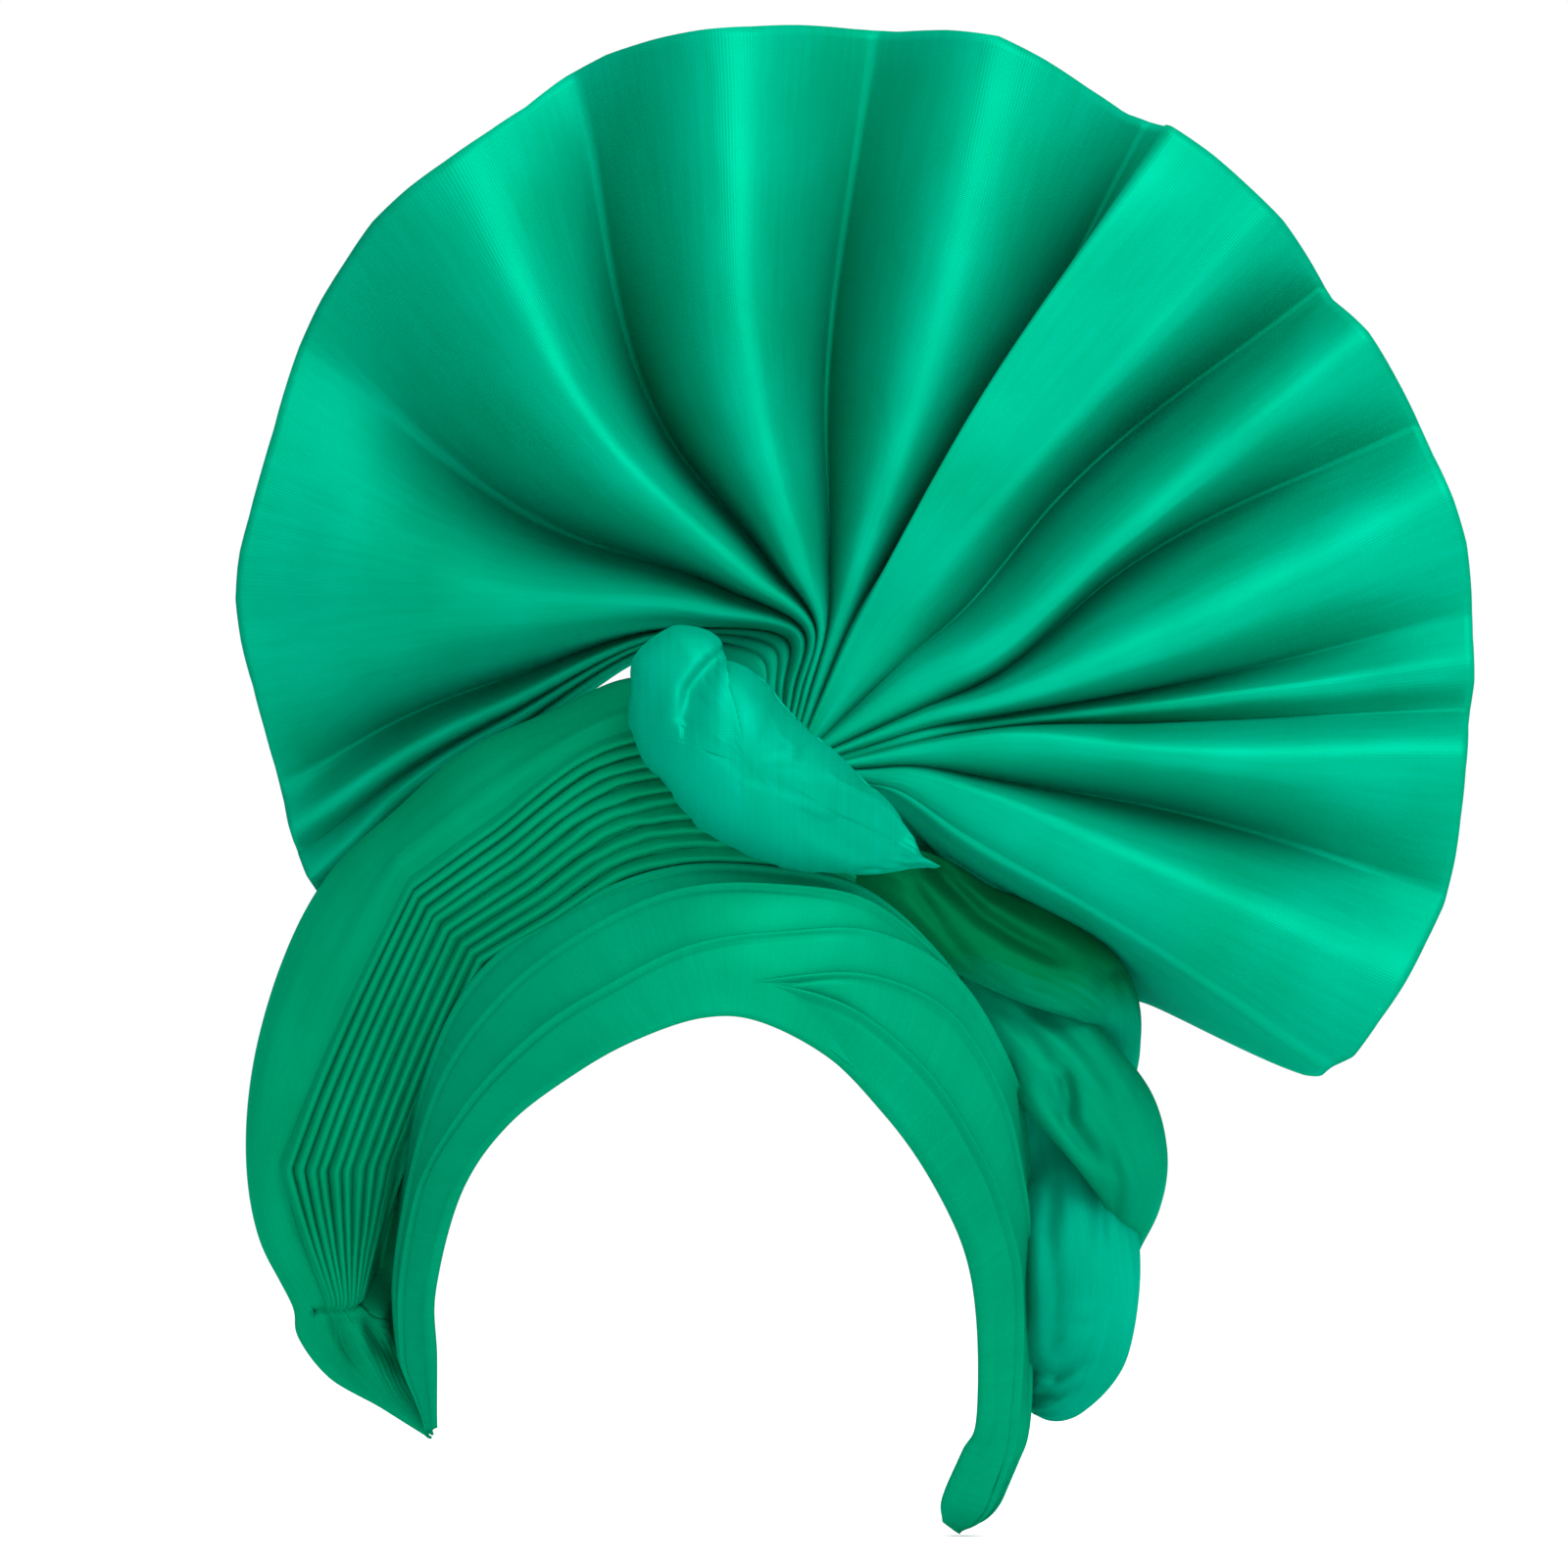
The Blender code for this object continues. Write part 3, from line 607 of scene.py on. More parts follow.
wrap = {
    # a darker copy of the satin: painted shade, so the whole wrap is darker
    "satin": {"base": "#008660", "deep": "#006038"},
    "wall": 0.88 * mm,
    "pleats": 11,
    "rise": 2.8 * mm,
    "bulge": 9.0 * mm,
    "bulgeSpan": 28 * mm,     # where the wrap is narrower than this, it bulges less
    "drop": 2.0 * mm,
    "nearColumns": 12,        # grid columns between the brow and the first pleat
    "pleatColumns": 14,       # and in one pleat
    "borderColumns": 28,
    "lipColumns": 10,
    "rows": 236,
    "gatherStation": 12.2,
    "kinks": (3.0, 6.1, 10.0, 12.2, 16.0),   # the pleats run straight between these stations
    # station, then the share of the width at which the first pleat lies
    "firstPleat": (
        (0.0, 0.0), (9.8, 0.0), (11.0, 0.13), (11.6, 0.36), (12.2, 0.62), (13.2, 0.30), (16.0, 0.0),
    ),
    "gully": 9.0 * mm,        # how far the cloth falls in between pleats and brow at the side
    "borderWave": 0.9 * mm,
    "seam": 2.4 * mm,         # the groove where all is gathered
    "pucker": 0.8 * mm,       # below the gather
    # one pleat from folded edge to folded edge: phase, share across, height
    "pleat": (
        (0.0, 0.0, -0.5), (0.10, -0.13, 0.05), (0.20, -0.02, 0.46), (0.32, 0.16, 0.5),
        (0.66, 0.55, 0.05), (1.0, 1.0, -0.5),
    ),
    "creases": (
        {"path": ((-109, -89), (-105, -98), (-100, -107)), "deep": 3.0, "wide": 2.6},
        {"path": ((-107, -88), (-98, -93), (-90, -104)), "deep": 1.6, "wide": 2.2},
    ),
    # brow station, across, drop, silhouette x, z, y, lip x, z, y, top pleat, pleat height
    "stations": (
        (8.95, 0.95, 1.0, 0.48, 0.52, -0.65, 0.00, -0.03, 0.06, 0.78, 0.2),
        (8.30, 0.95, 1.0, 0.24, 0.67, -0.665, 0.00, -0.03, 0.07, 0.78, 0.4),
        (7.60, 0.95, 1.0, -0.05, 0.77, -0.64, 0.00, -0.03, 0.08, 0.78, 0.6),
        (6.90, 0.95, 1.0, -0.29, 0.77, -0.60, 0.00, -0.03, 0.08, 0.78, 0.9),
        (6.30, 0.95, 1.0, -0.54, 0.70, -0.52, 0.00, -0.03, 0.08, 0.76, 1.0),
        (5.70, 0.96, 1.0, -0.86, 0.60, -0.41, 0.01, -0.03, 0.08, 0.72, 1.0),
        (5.15, 0.98, 1.0, -1.11, 0.46, -0.28, 0.02, -0.03, 0.08, 0.67, 1.0),
        (4.60, 0.98, 1.0, -1.34, 0.31, -0.13, 0.03, -0.03, 0.10, 0.67, 1.0),
        (4.10, 0.98, 1.0, -1.50, 0.12, 0.00, 0.06, -0.04, 0.20, 0.74, 1.0),
        (3.60, 0.97, 1.0, -1.61, -0.12, 0.11, 0.14, -0.03, 0.36, 0.82, 1.1),
        (3.15, 0.97, 1.0, -1.64, -0.35, 0.18, 0.20, 0.00, 0.42, 0.85, 1.1),
        (2.55, 0.97, 1.0, -1.59, -0.55, 0.24, 0.16, 0.00, 0.34, 0.88, 1.0),
        (2.05, 0.97, 1.0, -1.45, -0.71, 0.26, 0.02, 0.00, 0.08, 0.88, 0.6),
        (1.65, 0.98, 1.0, -1.43, -0.79, 0.32, 0.01, 0.00, 0.03, 0.90, 0.4),
        (1.20, 1.00, 1.0, -1.34, -0.88, 0.40, 0.01, 0.00, 0.03, 0.90, 0.4),
        (0.60, 1.00, 0.8, -1.18, -0.96, 0.44, 0.01, 0.00, 0.03, 0.90, 0.2),
        (0.06, 1.00, 0.5, -1.01, -1.037, 0.32, 0.00, 0.00, 0.01, 0.90, 0.0),
    ),
}


def wrapLayout(column, station, table):
    # The share across and the pleat height of each column: gully, pleats, smooth border
    # and a lip that turns back (shares over 1). Pleats repeat one drawn profile.
    nearColumns, pleatColumns = wrap["nearColumns"], wrap["pleats"] * wrap["pleatColumns"]
    first = np.interp(station, *np.array(wrap["firstPleat"]).T)
    top = curveThrough(table[:, 9], station)
    inNear = column / nearColumns
    share = (column - nearColumns) / pleatColumns
    phase = np.clip(share, 0, 1) * wrap["pleats"]
    profile = np.array(wrap["pleat"])
    number, part = np.floor(phase), phase % 1.0
    # neighbouring pleats drift a little closer and apart along the wrap
    drift = 0.10 * np.sin(2.6 * number + 0.8 * station) + 0.06 * np.sin(1.7 * number - 5.3 * station)
    drift = (drift + 0.03 * np.sin(4.1 * number + 13.0 * station)) * np.sin(math.pi * np.clip(share, 0, 1))
    along = (number + np.interp(part, profile[:, 0], profile[:, 1]) + drift) / wrap["pleats"]
    inBorder = (column - nearColumns - pleatColumns) / wrap["borderColumns"]
    inLip = (column - nearColumns - pleatColumns - wrap["borderColumns"]) / wrap["lipColumns"]
    across = np.where(share <= 1, first + (top - first) * along, top + (1 - top) * inBorder)
    across = np.where(share < 0, first * inNear, across)
    across = np.where(inBorder > 1, 1 + inLip, across)
    height = np.where(share < 0, -0.5, np.interp(part, profile[:, 0], profile[:, 2]))
    height = height * (1 + 0.22 * np.sin(3.7 * number + 0.9 * station))
    height = np.where(share > 1, -0.5 * np.clip(1 - inBorder * 3, 0, 1), height)
    return across, height, np.clip(inBorder, 0, 1), share


def wrapBody(station, across, table):
    # smooth cloth without pleats, from under the brow over a bulge to the outline and lip
    inner = browPoint(table[:, 0], table[:, 1], -table[:, 2] * wrap["drop"] / brow["step"])
    silhouette = archPoint(table[:, 3:6])
    lip = archPoint(table[:, 3:6] + table[:, 6:9])
    near, far, end = (curveThrough(edge, station) for edge in (inner, silhouette, lip))
    both = inner + silhouette
    ahead = curveThrough(both, station + 0.05) - curveThrough(both, station - 0.05)
    outward = unit(np.cross(far - near, ahead))
    span = np.linalg.norm(far - near, axis=-1, keepdims=True)
    bulge = wrap["bulge"] * np.clip(span / wrap["bulgeSpan"], 0, 1)
    middle = (near + far) / 2 + outward * bulge
    shoulder = near + (far - near) * 0.8 + outward * bulge * 0.75
    rows = np.stack((near, middle, shoulder, far, end))
    return curveThrough(rows, across, (0.0, 0.5, 0.8, 1.0, 2.0)), outward


def straightened(body, station, column, share, border, table):
    # Between two kinks a pleat runs straight, as seen from the front: x and z move toward
    # the line between the points that the same column has at the kinks.
    kinks = np.array(wrap["kinks"])
    atKinks = []
    for kink in kinks:
        still = np.full_like(station, kink)
        atKinks.append(wrapBody(still, wrapLayout(column, still, table)[0], table)[0])
    atKinks = np.stack(atKinks)
    left = np.clip(np.searchsorted(kinks, station, side="right") - 1, 0, len(kinks) - 2)
    part = np.clip((station - kinks[left]) / (kinks[left + 1] - kinks[left]), 0, 1)[:, None]
    item = np.arange(len(station))
    straight = atKinks[left, item] * (1 - part) + atKinks[left + 1, item] * part
    weight = 0.85 * smoothStep(0.0, 0.12, share) * (1 - smoothStep(0.1, 0.9, border))
    weight = weight * smoothStep(3.4, 5.0, station) * (1 - smoothStep(12.2, 13.5, station))
    return body + (straight - body) * weight[:, None] * (1.0, 0.0, 1.0)


def wrapLift(station, across, height, border, table):
    # How far the cloth stands out from the smooth body: pleats, flatter past the gather, a
    # wave along the border and puckers (sines), less the gully and the gather's seam.
    gather = wrap["gatherStation"]
    tail = smoothStep(gather - 0.1, gather + 0.4, station)
    pleats = height * curveThrough(table[:, 10], station) * (1 - 0.8 * tail)
    first = np.interp(station, *np.array(wrap["firstPleat"]).T)
    beside = smoothStep(7.0, 9.0, station) * (1 - smoothStep(gather - 0.1, gather + 0.5, station))
    inGully = across / (first + 0.14)
    steep = 0.2 + 0.8 * smoothStep(0.0, 0.25, inGully)
    gully = steep * (1 - smoothStep(0.25, 1.0, inGully)) * beside
    wave = bell(border, 0.42, 0.12) * np.sin(math.pi * np.clip(station / 9.0, 0, 1)) * (border > 0)
    seam = bell(station, gather, 0.09) * smoothStep(0.02, 0.2, across) * (across < 1.0)
    puckers = np.sin(2 * math.pi * across * 3.5) * bell(station, gather + 0.9, 0.8) * tail
    puckers = puckers * smoothStep(0.0, 0.3, across) * (across < 1.0)
    lift = wrap["rise"] * pleats - wrap["gully"] * gully + wrap["borderWave"] * wave
    return lift - wrap["seam"] * seam + wrap["pucker"] * puckers


def wrapSurface():
    # smooth cloth, then straight pleats, then the lift of each point and small creases
    table = np.array(wrap["stations"])
    pleatColumns = wrap["pleats"] * wrap["pleatColumns"]
    columns = wrap["nearColumns"] + pleatColumns + wrap["borderColumns"] + wrap["lipColumns"]
    u, v = gridOf(columns, wrap["rows"])
    station, column = v * (len(table) - 1), u * columns
    across, height, border, share = wrapLayout(column, station, table)
    body, outward = wrapBody(station, across, table)
    body = straightened(body, station, column, share, border, table)
    points = body + outward * wrapLift(station, across, height, border, table)[:, None]
    points -= outward * creaseDepth(points[:, (0, 2)], wrap["creases"])[:, None]
    return points.reshape(columns + 1, wrap["rows"] + 1, 3)


def makeWrap():
    # the wrap as one sheet, with the wall of a single layer
    points = wrapSurface()
    piece = meshFromGrid("pleatedWrap", points)
    clothWall(piece, wrap["wall"])
    dress(piece, wovenSatin("wrapSatinPaintedShade", wrap["satin"]), "pleated_wrap")
    length = meanLength(points.transpose(1, 0, 2))


# Fan

fan = {
    "satin": {},
    "wall": 0.88 * mm,
    "radius": 204 * mm,
    "fold": 33 * mm,                 # depth of a fold whose share is 1
    "rootLength": 26 * mm,
    "rootTilt": -45.0,               # degrees, as seen from the front
    "rootFold": 0.02,
    "centre": (0.44, 0.70, -0.84),   # of all the folds: x, z, y as shares of the arch
    "rootShift": (-0.036, -0.034),   # x and z of the root from there, as shares of the radius
    "distances": (0.060, 0.133, 0.238, 0.462),
    "opening": (0.085, 0.20, 0.55, 1.0),       # how far a fold is open at each distance
    "dent": 1.7 * mm,
    "smallDent": 0.5 * mm,
    "ripple": 0.6 * mm,              # at the rim
    # at the distances, then the rim: 1 gives even waves, more gives broad crests
    "crestWidth": (1.6, 1.6, 1.5, 1.3, 1.1),
    "valleyEdge": (1.0, 1.0, 0.9, 0.7, 0.3),   # 0 gives rounded valleys, 1 sharp ones
    "columnsPerFold": 18,
    "rows": 84,
    # distance from the hub to the rim, every 4 degrees from -40 to 200
    "rimReach": (
        0.655, 0.847, 0.883, 0.888, 0.897, 0.904, 0.913, 0.912, 0.908, 0.907, 0.910, 0.921, 0.926,
        0.935, 0.943, 0.944, 0.942, 0.945, 0.946, 0.948, 0.940, 0.953, 0.965, 0.970, 0.976, 0.979,
        0.969, 0.979, 0.994, 1.007, 1.002, 0.993, 0.993, 0.996, 0.997, 1.002, 1.005, 1.006, 0.998,
        0.980, 0.972, 0.968, 0.968, 0.965, 0.953, 0.943, 0.929, 0.911, 0.894, 0.883, 0.875, 0.871,
        0.860, 0.841, 0.819, 0.803, 0.791, 0.783, 0.780, 0.773, 0.760,
    ),
    # crest deg, bend deg, middle deg, rim deg, rim reach, rim recess, middle fold, rim fold
    "folds": (
        (150.0, 153.0, 186.0, 201.0, 0.755, 0.91, 0.40, 0.13),
        (139.0, 150.5, 183.5, 199.5, 0.762, 0.91, 0.23, 0.00),
        (134.0, 149.0, 182.0, 198.0, 0.766, 0.91, 0.43, 0.10),
        (129.0, 147.5, 180.0, 196.0, 0.770, 0.91, 0.20, -0.07),
        (124.0, 146.5, 178.5, 193.5, 0.774, 0.91, 0.43, 0.07),
        (119.0, 145.5, 176.0, 191.0, 0.779, 0.89, 0.07, -0.13),
        (114.0, 144.0, 171.5, 186.0, 0.786, 0.86, 0.67, 0.13),
        (108.0, 139.0, 160.0, 170.5, 0.838, 0.72, -0.47, -0.40),
        (103.0, 126.0, 143.5, 143.0, 0.936, 0.66, 0.83, 0.27),
        (99.0, 119.0, 129.0, 127.0, 0.965, 0.52, -0.50, -0.47),
        (96.0, 108.5, 118.5, 111.0, 0.997, 0.45, 0.93, 0.47),
        (93.5, 101.0, 104.0, 99.0, 0.998, 0.39, -0.57, -0.47),
        (90.0, 89.0, 90.0, 86.0, 0.990, 0.35, 1.00, 0.43),
        (85.0, 79.0, 75.5, 76.0, 1.000, 0.32, -0.47, -0.40),
        (78.0, 70.0, 63.0, 62.0, 0.966, 0.32, 1.00, 0.33),
        (73.0, 68.5, 65.0, 59.5, 0.976, 0.32, -0.60, -0.53),
        (62.0, 58.0, 53.0, 50.0, 0.962, 0.32, -0.47, -0.40),
        (40.0, 40.0, 44.5, 41.5, 0.930, 0.30, 0.87, 0.30),
        (24.0, 24.0, 32.0, 36.0, 0.943, 0.30, -0.40, -0.43),
        (10.0, 16.0, 27.5, 27.0, 0.940, 0.30, 0.67, 0.10),
        (4.0, 8.0, 13.5, 20.0, 0.938, 0.30, -0.33, -0.43),
        (-2.0, 3.5, 6.5, 10.0, 0.924, 0.30, 0.47, 0.03),
        (-6.0, 0.5, 3.5, 5.0, 0.917, 0.30, 0.13, -0.13),
        (-10.0, -1.0, 0.5, 1.5, 0.908, 0.30, 0.33, 0.00),
        (-15.0, -5.0, -5.0, -3.5, 0.903, 0.30, -0.40, -0.43),
        (-25.0, -18.0, -14.0, -15.0, 0.910, 0.30, 0.60, 0.10),
        (-32.0, -25.5, -25.5, -25.5, 0.891, 0.34, -0.30, -0.40),
        (-42.0, -38.0, -34.0, -33.5, 0.880, 0.36, -0.10, -0.13),
        (-47.0, -43.0, -37.0, -36.0, 0.840, 0.40, 0.45, 0.20),
        (-52.0, -49.0, -43.0, -41.0, 0.600, 0.95, 0.60, 0.30),
        (-56.0, -53.0, -47.0, -46.6, 0.629, 0.97, 0.50, 0.30),
    ),
}


def foldCurve(values, at, power, edge):
    # Goes from row to row with level crests; depths grow away from the viewer. From a crest
    # to a valley, with w = t**power, the share is a mix of the S curve of w, which rounds the
    # valley, and 1 - cos(w quarter turns), which keeps it sharp.
    values = np.asarray(values, float)
    row = np.clip(np.floor(at).astype(int), 0, len(values) - 2)
    part = np.clip(at - row, 0, 1)
    here, there = values[row], values[row + 1]

    def fall(part):
        share = part**power
        return smoothStep(0, 1, share) * (1 - edge) + (1 - np.cos(share * math.pi / 2)) * edge

    return here + (there - here) * np.where(here < there, fall(part), 1 - fall(1 - part))


def fanRelief(u, place):
    # slow dents over the open cloth, smaller ones and ripples at the rim, all products of sines
    dents = np.sin(19 * u + 6 * place) * np.sin(31 * u - 5 * place) * smoothStep(0.3, 0.6, place)
    small = np.sin(53 * u + 11 * place) * np.sin(83 * u - 17 * place) * smoothStep(0.3, 0.5, place)
    ripples = np.sin(71 * u + 2.0 * np.sin(4 * place)) * smoothStep(0.55, 0.95, place)
    return fan["dent"] * dents + fan["smallDent"] * small + fan["ripple"] * ripples


def fanSurface():
    # Along a fold: a smooth curve from the gathered root through the distances to the rim.
    # Across the folds: directions follow a smooth curve through the table and depths go
    # from crest to valley, so a fold whose direction turns back overlaps its neighbour.
    table = np.array(fan["folds"])
    last = len(table) - 1
    columns, rows = last * fan["columnsPerFold"], fan["rows"]
    u, v = gridOf(columns, rows)
    at = u * last
    row = curveThrough(table, at)
    recess = row[:, 5]
    rimFold = foldCurve(table[:, 7], at, fan["crestWidth"][-1], fan["valleyEdge"][-1])
    rimAngles = np.linspace(-40, 200, len(fan["rimReach"]))
    inner = smoothStep(-37.5, -33.5, row[:, 3])
    reach = row[:, 4] * (1 - inner) + np.interp(row[:, 3], rimAngles, fan["rimReach"]) * inner
    centre = archPoint(fan["centre"])
    tilt = math.radians(fan["rootTilt"])
    rootX, rootZ = np.multiply(fan["rootShift"], fan["radius"])
    along = (u - 0.5) * fan["rootLength"]
    gather = foldCurve(np.where(table[:, 6] > 0.1, 1.0, -1.0), at, 1.0, 0.0)
    gather = gather * fan["rootFold"] * fan["fold"]
    x, z = rootX + along * math.cos(tilt), rootZ + along * math.sin(tilt)
    root = centre + np.stack((x, gather, z), axis=1)
    rimDepth = recess * arch["depth"]

    def fromCentre(degrees, radius, depth):
        turn = np.radians(degrees)
        return centre + np.stack((radius * np.cos(turn), depth, radius * np.sin(turn)), axis=1)

    stations = [root]
    # the table's column of directions at each distance, then the shape of the folds there
    shapes = zip((0, 0, 1, 2), fan["distances"], fan["opening"], fan["crestWidth"], fan["valleyEdge"])
    for k, distance, opening, power, edge in shapes:
        middleFold = foldCurve(table[:, 6], at, power, edge)
        depth = rimDepth * distance / np.maximum(reach, 0.05) + opening * middleFold * fan["fold"]
        stations.append(fromCentre(row[:, k], distance * fan["radius"], depth))
    # nearest the root the cloth runs straight and its folds have 0.6 of their depth
    blend = fan["distances"][0] / fan["distances"][1]
    stations[1] = root * (1 - blend) + stations[2] * blend + (stations[1] - centre) * (0, 0.6, 0)
    stations.append(fromCentre(row[:, 3], reach * fan["radius"], rimDepth + rimFold * fan["fold"]))
    # rows crowd toward the root, where the cloth is gathered tightest
    place = v**1.25
    points = curveThrough(np.stack(stations), place, (0.0, *fan["distances"], 1.0))
    points[:, 1] += fanRelief(u, place)
    return points.reshape(columns + 1, rows + 1, 3)


def makeFan():
    # the fan as one sheet, its length from the root to the rim measured
    points = fanSurface()
    piece = meshFromGrid("fanCloth", points)
    clothWall(piece, fan["wall"])
    dress(piece, wovenSatin("fanWovenSatin", fan["satin"]), "fan")
    deep = meanLength(points.transpose(1, 0, 2))


# Knot

knot = {
    # a bluer copy of the satin: painted highlight, for the teal gloss on the knot
    "satin": {"base": "#008E7A"},
    "around": 450,
    "across": 150,
    "every": 5,                     # the simulated copy has every fifth point
    "pinnedRings": range(15, 30),   # its back half
    "bulge": 35 * mm,
    "back": 3.0 * mm,
    "seatY": -74.0 * mm,
    "centre": (0.17, 0.61),
    "spineStart": (-0.12, 0.84),
    "spineEnd": (0.72, 0.43),
    "spineFade": 0.62,
    "cap": 1.0 * mm,         # how far the simulated cloth may move from the drawn shape
    # outline as seen from the front, clockwise from the left side: x and z shares
    "outline": (
        (-0.268, 0.715), (-0.265, 0.79), (-0.257, 0.852), (-0.215, 0.892), (-0.143, 0.927),
        (-0.089, 0.939), (0.000, 0.929), (0.054, 0.905), (0.062, 0.880), (0.035, 0.862),
        (0.050, 0.846), (0.089, 0.851), (0.161, 0.834), (0.232, 0.798), (0.286, 0.751),
        (0.375, 0.691), (0.465, 0.643), (0.572, 0.572), (0.661, 0.512), (0.733, 0.441),
        (0.800, 0.375), (0.850, 0.362), (0.786, 0.358), (0.572, 0.350), (0.357, 0.357),
        (0.215, 0.381), (0.107, 0.412), (0.000, 0.453), (-0.071, 0.500), (-0.143, 0.560),
        (-0.215, 0.620), (-0.257, 0.691),
    ),
    # the crease between the rolled end and the body, and a pinch beside the hub
    "creases": (
        {
            "path": ((8, 107), (3.1, 103.0), (-0.9, 99.0), (-3.7, 94.5), (-5.2, 87.0)),
            "deep": 3.4, "wide": 2.4, "right": 4.5, "open": 0.4,
        },
        {"path": ((34.0, 84.5), (30.5, 80.5), (28.6, 76.0)), "deep": 1.2, "wide": 1.7},
        {"path": ((36, 66), (48, 55), (60, 46)), "deep": 0.7, "wide": 3.0},
        {"path": ((-14, 96), (-16, 84), (-12, 72)), "deep": 0.6, "wide": 3.0},
    ),
}


def knotSurface():
    # Rings run round the outline and shrink onto its centre by the sine of a half turn. The
    # front swells by a power of the cosine, less toward the pointed end; the back hardly.
    outline = np.array(knot["outline"])
    loop = np.vstack((outline[-2:], outline, outline[:2]))
    around, across = knot["around"], knot["across"]
    size = np.array((arch["halfWidth"], arch["height"]))
    edge = curveThrough(loop, np.arange(around) / around * len(outline) + 2) * size
    centre, start, end = (np.array(knot[key]) * size for key in ("centre", "spineStart", "spineEnd"))
    turn = np.linspace(0, math.pi, across + 1)
    flat = centre + (edge - centre)[:, None] * np.sin(turn)[None, :, None]
    heading = end - start
    part = np.clip(((flat - start) @ heading) / (heading @ heading), 0, 1)
    swell = (0.80 + 0.20 * smoothStep(0.0, 0.35, part)) * (1 - knot["spineFade"] * part**1.7)
    lift = np.cos(turn)[None, :]
    front = np.abs(lift) ** 0.72 * knot["bulge"] * swell
    front = front - creaseDepth(flat, knot["creases"]) * smoothStep(0, 0.3, lift)
    depth = np.where(lift > 0, front, lift * knot["back"] * swell)
    return np.stack((flat[..., 0], knot["seatY"] - depth, flat[..., 1]), axis=-1)


def makeKnot():
    # the knot as one padded piece, its cloth relaxed
    points = relaxedCloth(knotSurface(), knot["cap"], knot["every"], knot["pinnedRings"])
    # the pattern lies flat over the front, so it isn't squeezed at the pointed end
    flat = np.concatenate((points, points[:1]))[..., (0, 2)] / cloth["uvMetres"]
    piece = meshFromGrid("knotBody", points, closed=True, uv=flat)
    dress(piece, wovenSatin("knotSatinPaintedHighlight", knot["satin"]), "knot")
    print("knotBody made")


# Roll

roll = {
    # painted shade: the outer strand turns deep green above, where the fan and the knot shade it
    "satins": {
        # a lighter, bluer copy of the satin: painted highlight
        "rollStrandOuter": {"base": "#00967E", "deep": "#005C34", "paintedShadeBetween": (-20 * mm, 25 * mm)},
        # a darker copy of the satin: painted shade
        "rollStrandInner": {"base": "#007F60", "deep": "#005C38"},
    },
    "around": 96,
    "along": 200,
    "cap": 1.2 * mm,         # how far the simulated cloth may move from the drawn shape
    "every": 3,              # the simulated copy has every third point
    "slack": 0.030,          # lengthwise folds, as shares of the strand's half width
    "smallSlack": 0.014,
    "endFolds": 0.05,
    "strands": {
        # x, z, y of the middle line, then half width and half depth, in mm
        "rollStrandOuter": (
            (39.0, 45.0, -42.0, 8.5, 6.0),
            (58.0, 37.0, -41.0, 13.0, 8.0),
            (75.8, 25.7, -36.0, 13.5, 8.5),
            (93.0, 17.2, -32.0, 14.0, 8.5),
            (108.7, 10.0, -28.0, 12.0, 8.0),
            (116.5, 1.4, -8.0, 9.0, 7.5),
            (117.3, -11.4, 12.0, 9.0, 7.0),
            (108.5, -25.7, 22.0, 15.5, 7.0),
            (104.3, -37.2, 18.0, 15.2, 8.0),
            (105.8, -50.0, 9.0, 15.5, 9.5),
            (107.9, -65.8, 8.0, 16.9, 10.0),
            (108.6, -82.9, 15.0, 17.3, 9.5),
            (106.0, -97.5, 24.0, 16.6, 8.8),
            (101.5, -109.5, 33.0, 12.5, 7.0),
            (94.5, -115.5, 40.0, 8.0, 5.0),
        ),
        "rollStrandInner": (
            (72.0, 18.0, -24.0, 8.0, 6.0),
            (80.0, 7.0, -19.0, 10.0, 7.0),
            (88.7, -2.9, -18.0, 11.5, 8.0),
            (101.5, -14.3, -18.0, 15.5, 9.0),
            (114.0, -29.0, -14.0, 15.5, 9.5),
            (121.5, -42.9, -6.0, 12.5, 9.0),
            (123.0, -54.3, 8.0, 9.0, 8.5),
            (118.7, -65.8, 26.0, 8.5, 6.5),
            (112.0, -78.6, 38.0, 9.0, 6.0),
            (107.0, -93.0, 44.0, 8.5, 6.0),
            (101.5, -108.0, 47.0, 6.0, 5.0),
        ),
    },
    # pressed into the front: x and z of the path in mm
    "creases": {
        "rollStrandOuter": (
            {"path": ((60, 50), (70, 38), (79, 29), (90, 22), (102, 16)), "deep": 4.5, "wide": 2.8},
            {"path": ((58, 42), (63, 33), (69, 24), (76, 16)), "deep": 1.8, "wide": 2.0},
            {"path": ((113.5, 0), (115.5, 11), (124, 15)), "deep": 2.6, "wide": 1.5},
            {"path": ((111.5, -44), (114, -56), (114, -70)), "deep": 2.2, "wide": 2.4},
            {"path": ((101, -48), (99, -64), (101, -84), (100, -98)), "deep": 1.4, "wide": 2.6},
            {"path": ((90, -104), (101, -106), (110, -102)), "deep": 2.8, "wide": 1.8},
            {"path": ((92, -111), (101, -112), (108, -109)), "deep": 2.2, "wide": 1.6},
            {"path": ((98, -98), (104, -92), (112, -90)), "deep": 1.2, "wide": 2.0},
        ),
        "rollStrandInner": (
            {"path": ((103, -17), (104.5, -23), (105.2, -29)), "deep": 4.5, "wide": 2.2},
            {"path": ((98, -22), (104, -30), (109, -37), (115, -44)), "deep": 4.0, "wide": 2.8},
            {"path": ((84, 4), (94, -7), (102, -18)), "deep": 1.8, "wide": 2.6},
            {"path": ((96, 2), (108, -8), (117, -20), (122, -34)), "deep": 1.5, "wide": 2.8},
            {"path": ((116, -38), (119, -48), (119, -56)), "deep": 1.8, "wide": 2.0},
        ),
    },
}


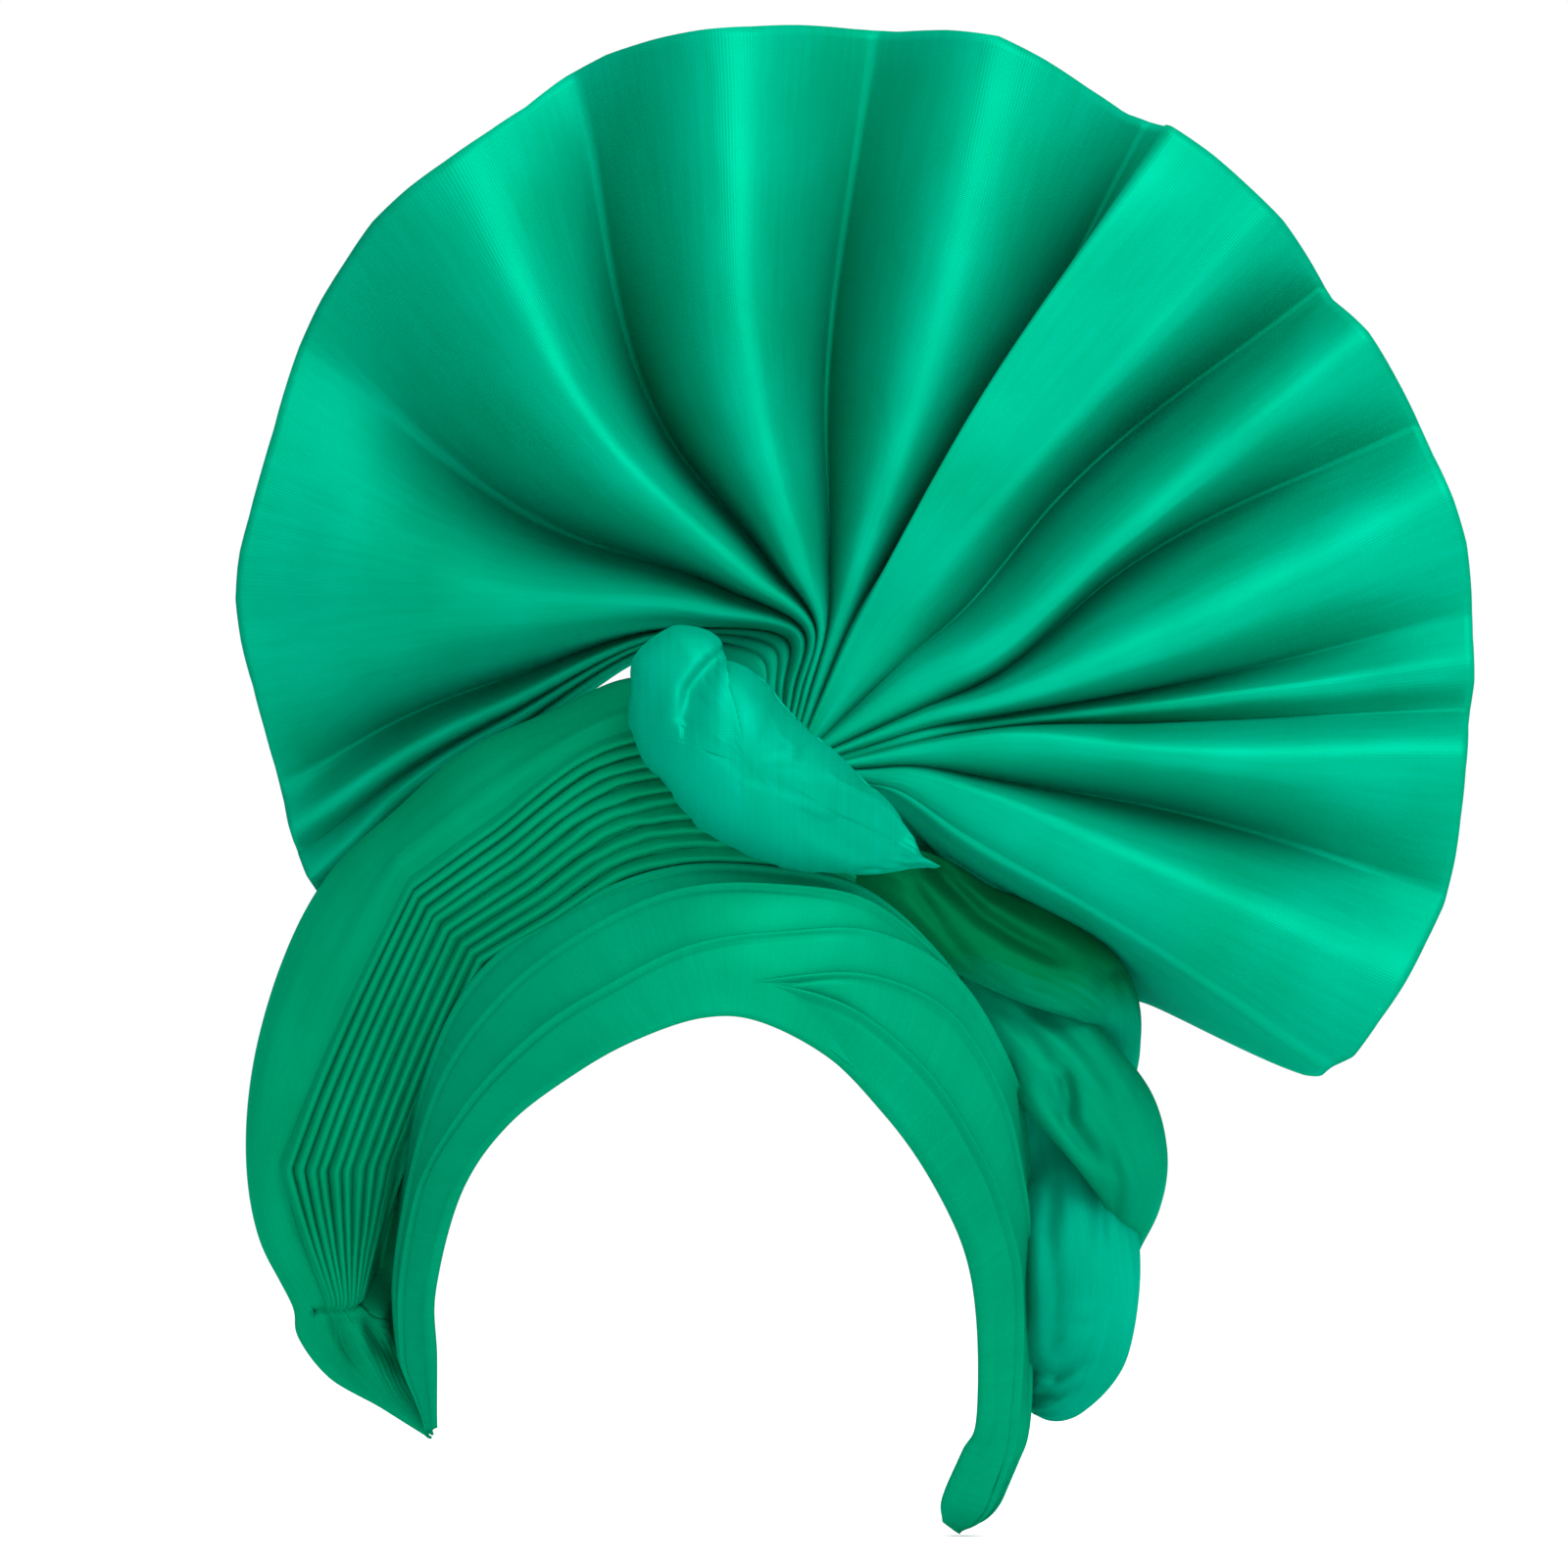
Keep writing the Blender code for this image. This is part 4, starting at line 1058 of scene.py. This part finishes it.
def strandSurface(rows, creases, seed):
    # Oval rings carried along the middle line, closed at both ends, with slack folds that
    # run lengthwise and fade in and out, and creases pressed into the side that is seen.
    table = np.array(rows) * mm
    last = len(table) - 1
    around, along = roll["around"], roll["along"]
    turn = np.repeat(np.arange(around) / around * 2 * math.pi, along + 1)
    place = np.tile((1 - np.cos(np.linspace(0, math.pi, along + 1))) / 2, around)
    at = place * last
    middle = table[:, (0, 2, 1)]
    centre = curveThrough(middle, at)
    heading = unit(curveThrough(middle, at + 0.05) - curveThrough(middle, at - 0.05))
    beside = unit(np.cross(heading, np.array((0.0, -1.0, 0.0))))
    front = np.cross(beside, heading)
    closing = np.sqrt(np.clip(1 - (2 * place - 1) ** 10, 0, 1))[:, None]
    half = curveThrough(table[:, 3:], at) * closing
    slack = 1 + roll["slack"] * np.sin(3 * turn + 2.2 * at + seed) * np.sin(1.3 * at + seed)
    slack = slack + roll["smallSlack"] * np.sin(7 * turn - 1.1 * at + 2 * seed)
    ends = np.sin(11 * turn + seed) * (bell(place, 0.0, 0.10) + bell(place, 1.0, 0.12))
    slack = (slack + roll["endFolds"] * ends)[:, None]
    points = (
        centre
        + beside * (half[:, :1] * np.cos(turn)[:, None]) * slack
        + front * (half[:, 1:] * np.sin(turn)[:, None]) * slack
    )
    seen = smoothStep(0.0, 0.5 * half[:, 1] + 1e-6, centre[:, 1] - points[:, 1])
    groove = creaseDepth(points[:, (0, 2)], creases) * seen
    points[:, 1] += np.minimum(groove, 1.2 * half[:, 1])
    return points.reshape(around, along + 1, 3)


def makeRoll():
    # two padded strands, each with its own material and relaxed between its pinned ends
    for seed, (name, rows) in enumerate(roll["strands"].items(), start=1):
        drawn = strandSurface(rows, roll["creases"][name], seed)
        points = relaxedCloth(drawn, roll["cap"], roll["every"], (0, -1))
        piece = meshFromGrid(name, points, closed=True)
        strand = name.removeprefix("rollStrand").lower()
        # each strand's satin is a copy with painted shade, the outer one also with a painted highlight
        dress(piece, wovenSatin(strand + "StrandSatinPaintedShade", roll["satins"][name]), cadName(name))
        print(name, "made")


# Stage, light and camera

studio = {
    "floorZ": -0.1535,
    "floorSize": 8.0,
    "floorColour": "#FFFFFF",
    "worldStrength": 1.0,
    "cameraDistance": 6.0,
    "frameWidth": 457.6 * mm,     # what the picture's width covers at the object
    "aim": (22.9 * mm, 0.0, 67.2 * mm),
    # name, place, aim, size, watts
    "lights": (
        ("keyLight", (0.75, -1.4, 1.3), (0.03, -0.05, 0.06), 1.4, 55.0),
        ("topLight", (0.1, -0.2, 1.7), (0.03, -0.03, 0.1), 0.8, 10.0),
    ),
}


def aimed(thing, place, target):
    # turns a light or camera at a place so that it looks at the target
    offset = np.subtract(target, place)
    direction = Vector(offset.tolist())
    thing.location = place
    thing.rotation_euler = direction.to_track_quat("-Z", "Y").to_euler()


def makeStage():
    # a pale floor of matt paper, which gives only a soft shadow, a white room, lights and camera
    half = studio["floorSize"] / 2
    mesh = bpy.data.meshes.new("paleFloor")
    corners = [(-half, -half), (half, -half), (half, half), (-half, half)]
    mesh.from_pydata([(x, y, studio["floorZ"]) for x, y in corners], [], [(0, 1, 2, 3)])
    floor = bpy.data.objects.new("paleFloor", mesh)
    bpy.context.scene.collection.objects.link(floor)
    paper = bpy.data.materials.new("mattPaper")
    paper.use_nodes = True
    shader = paper.node_tree.nodes["Principled BSDF"]
    shader.inputs["Base Color"].default_value = linearColour(studio["floorColour"])
    shader.inputs["Roughness"].default_value = 0.9
    shader.inputs["Specular IOR Level"].default_value = 0.0
    floor.data.materials.append(paper)
    world = bpy.data.worlds.new("paleRoom")
    world.use_nodes = True
    background = world.node_tree.nodes["Background"]
    background.inputs["Color"].default_value = (1.0, 1.0, 1.0, 1.0)
    background.inputs["Strength"].default_value = studio["worldStrength"]
    bpy.context.scene.world = world
    for name, place, target, size, watts in studio["lights"]:
        data = bpy.data.lights.new(name, "AREA")
        data.shape = "DISK"
        data.size = size
        data.energy = watts
        light = bpy.data.objects.new(name, data)
        bpy.context.scene.collection.objects.link(light)
        aimed(light, place, target)
    camera = bpy.data.objects.new("frontCamera", bpy.data.cameras.new("frontCamera"))
    bpy.context.scene.collection.objects.link(camera)
    camera.data.sensor_width = 36.0
    camera.data.lens = 36.0 * studio["cameraDistance"] / studio["frameWidth"]
    aim = studio["aim"]
    aimed(camera, (aim[0], aim[1] - studio["cameraDistance"], aim[2]), aim)
    bpy.context.scene.camera = camera
    bpy.context.scene.view_settings.view_transform = "Standard"
    bpy.context.scene.view_settings.look = "None"


makeBrow()
makeWrap()
makeFan()
makeKnot()
makeRoll()
makeStage()
print("stage, lights and camera made")
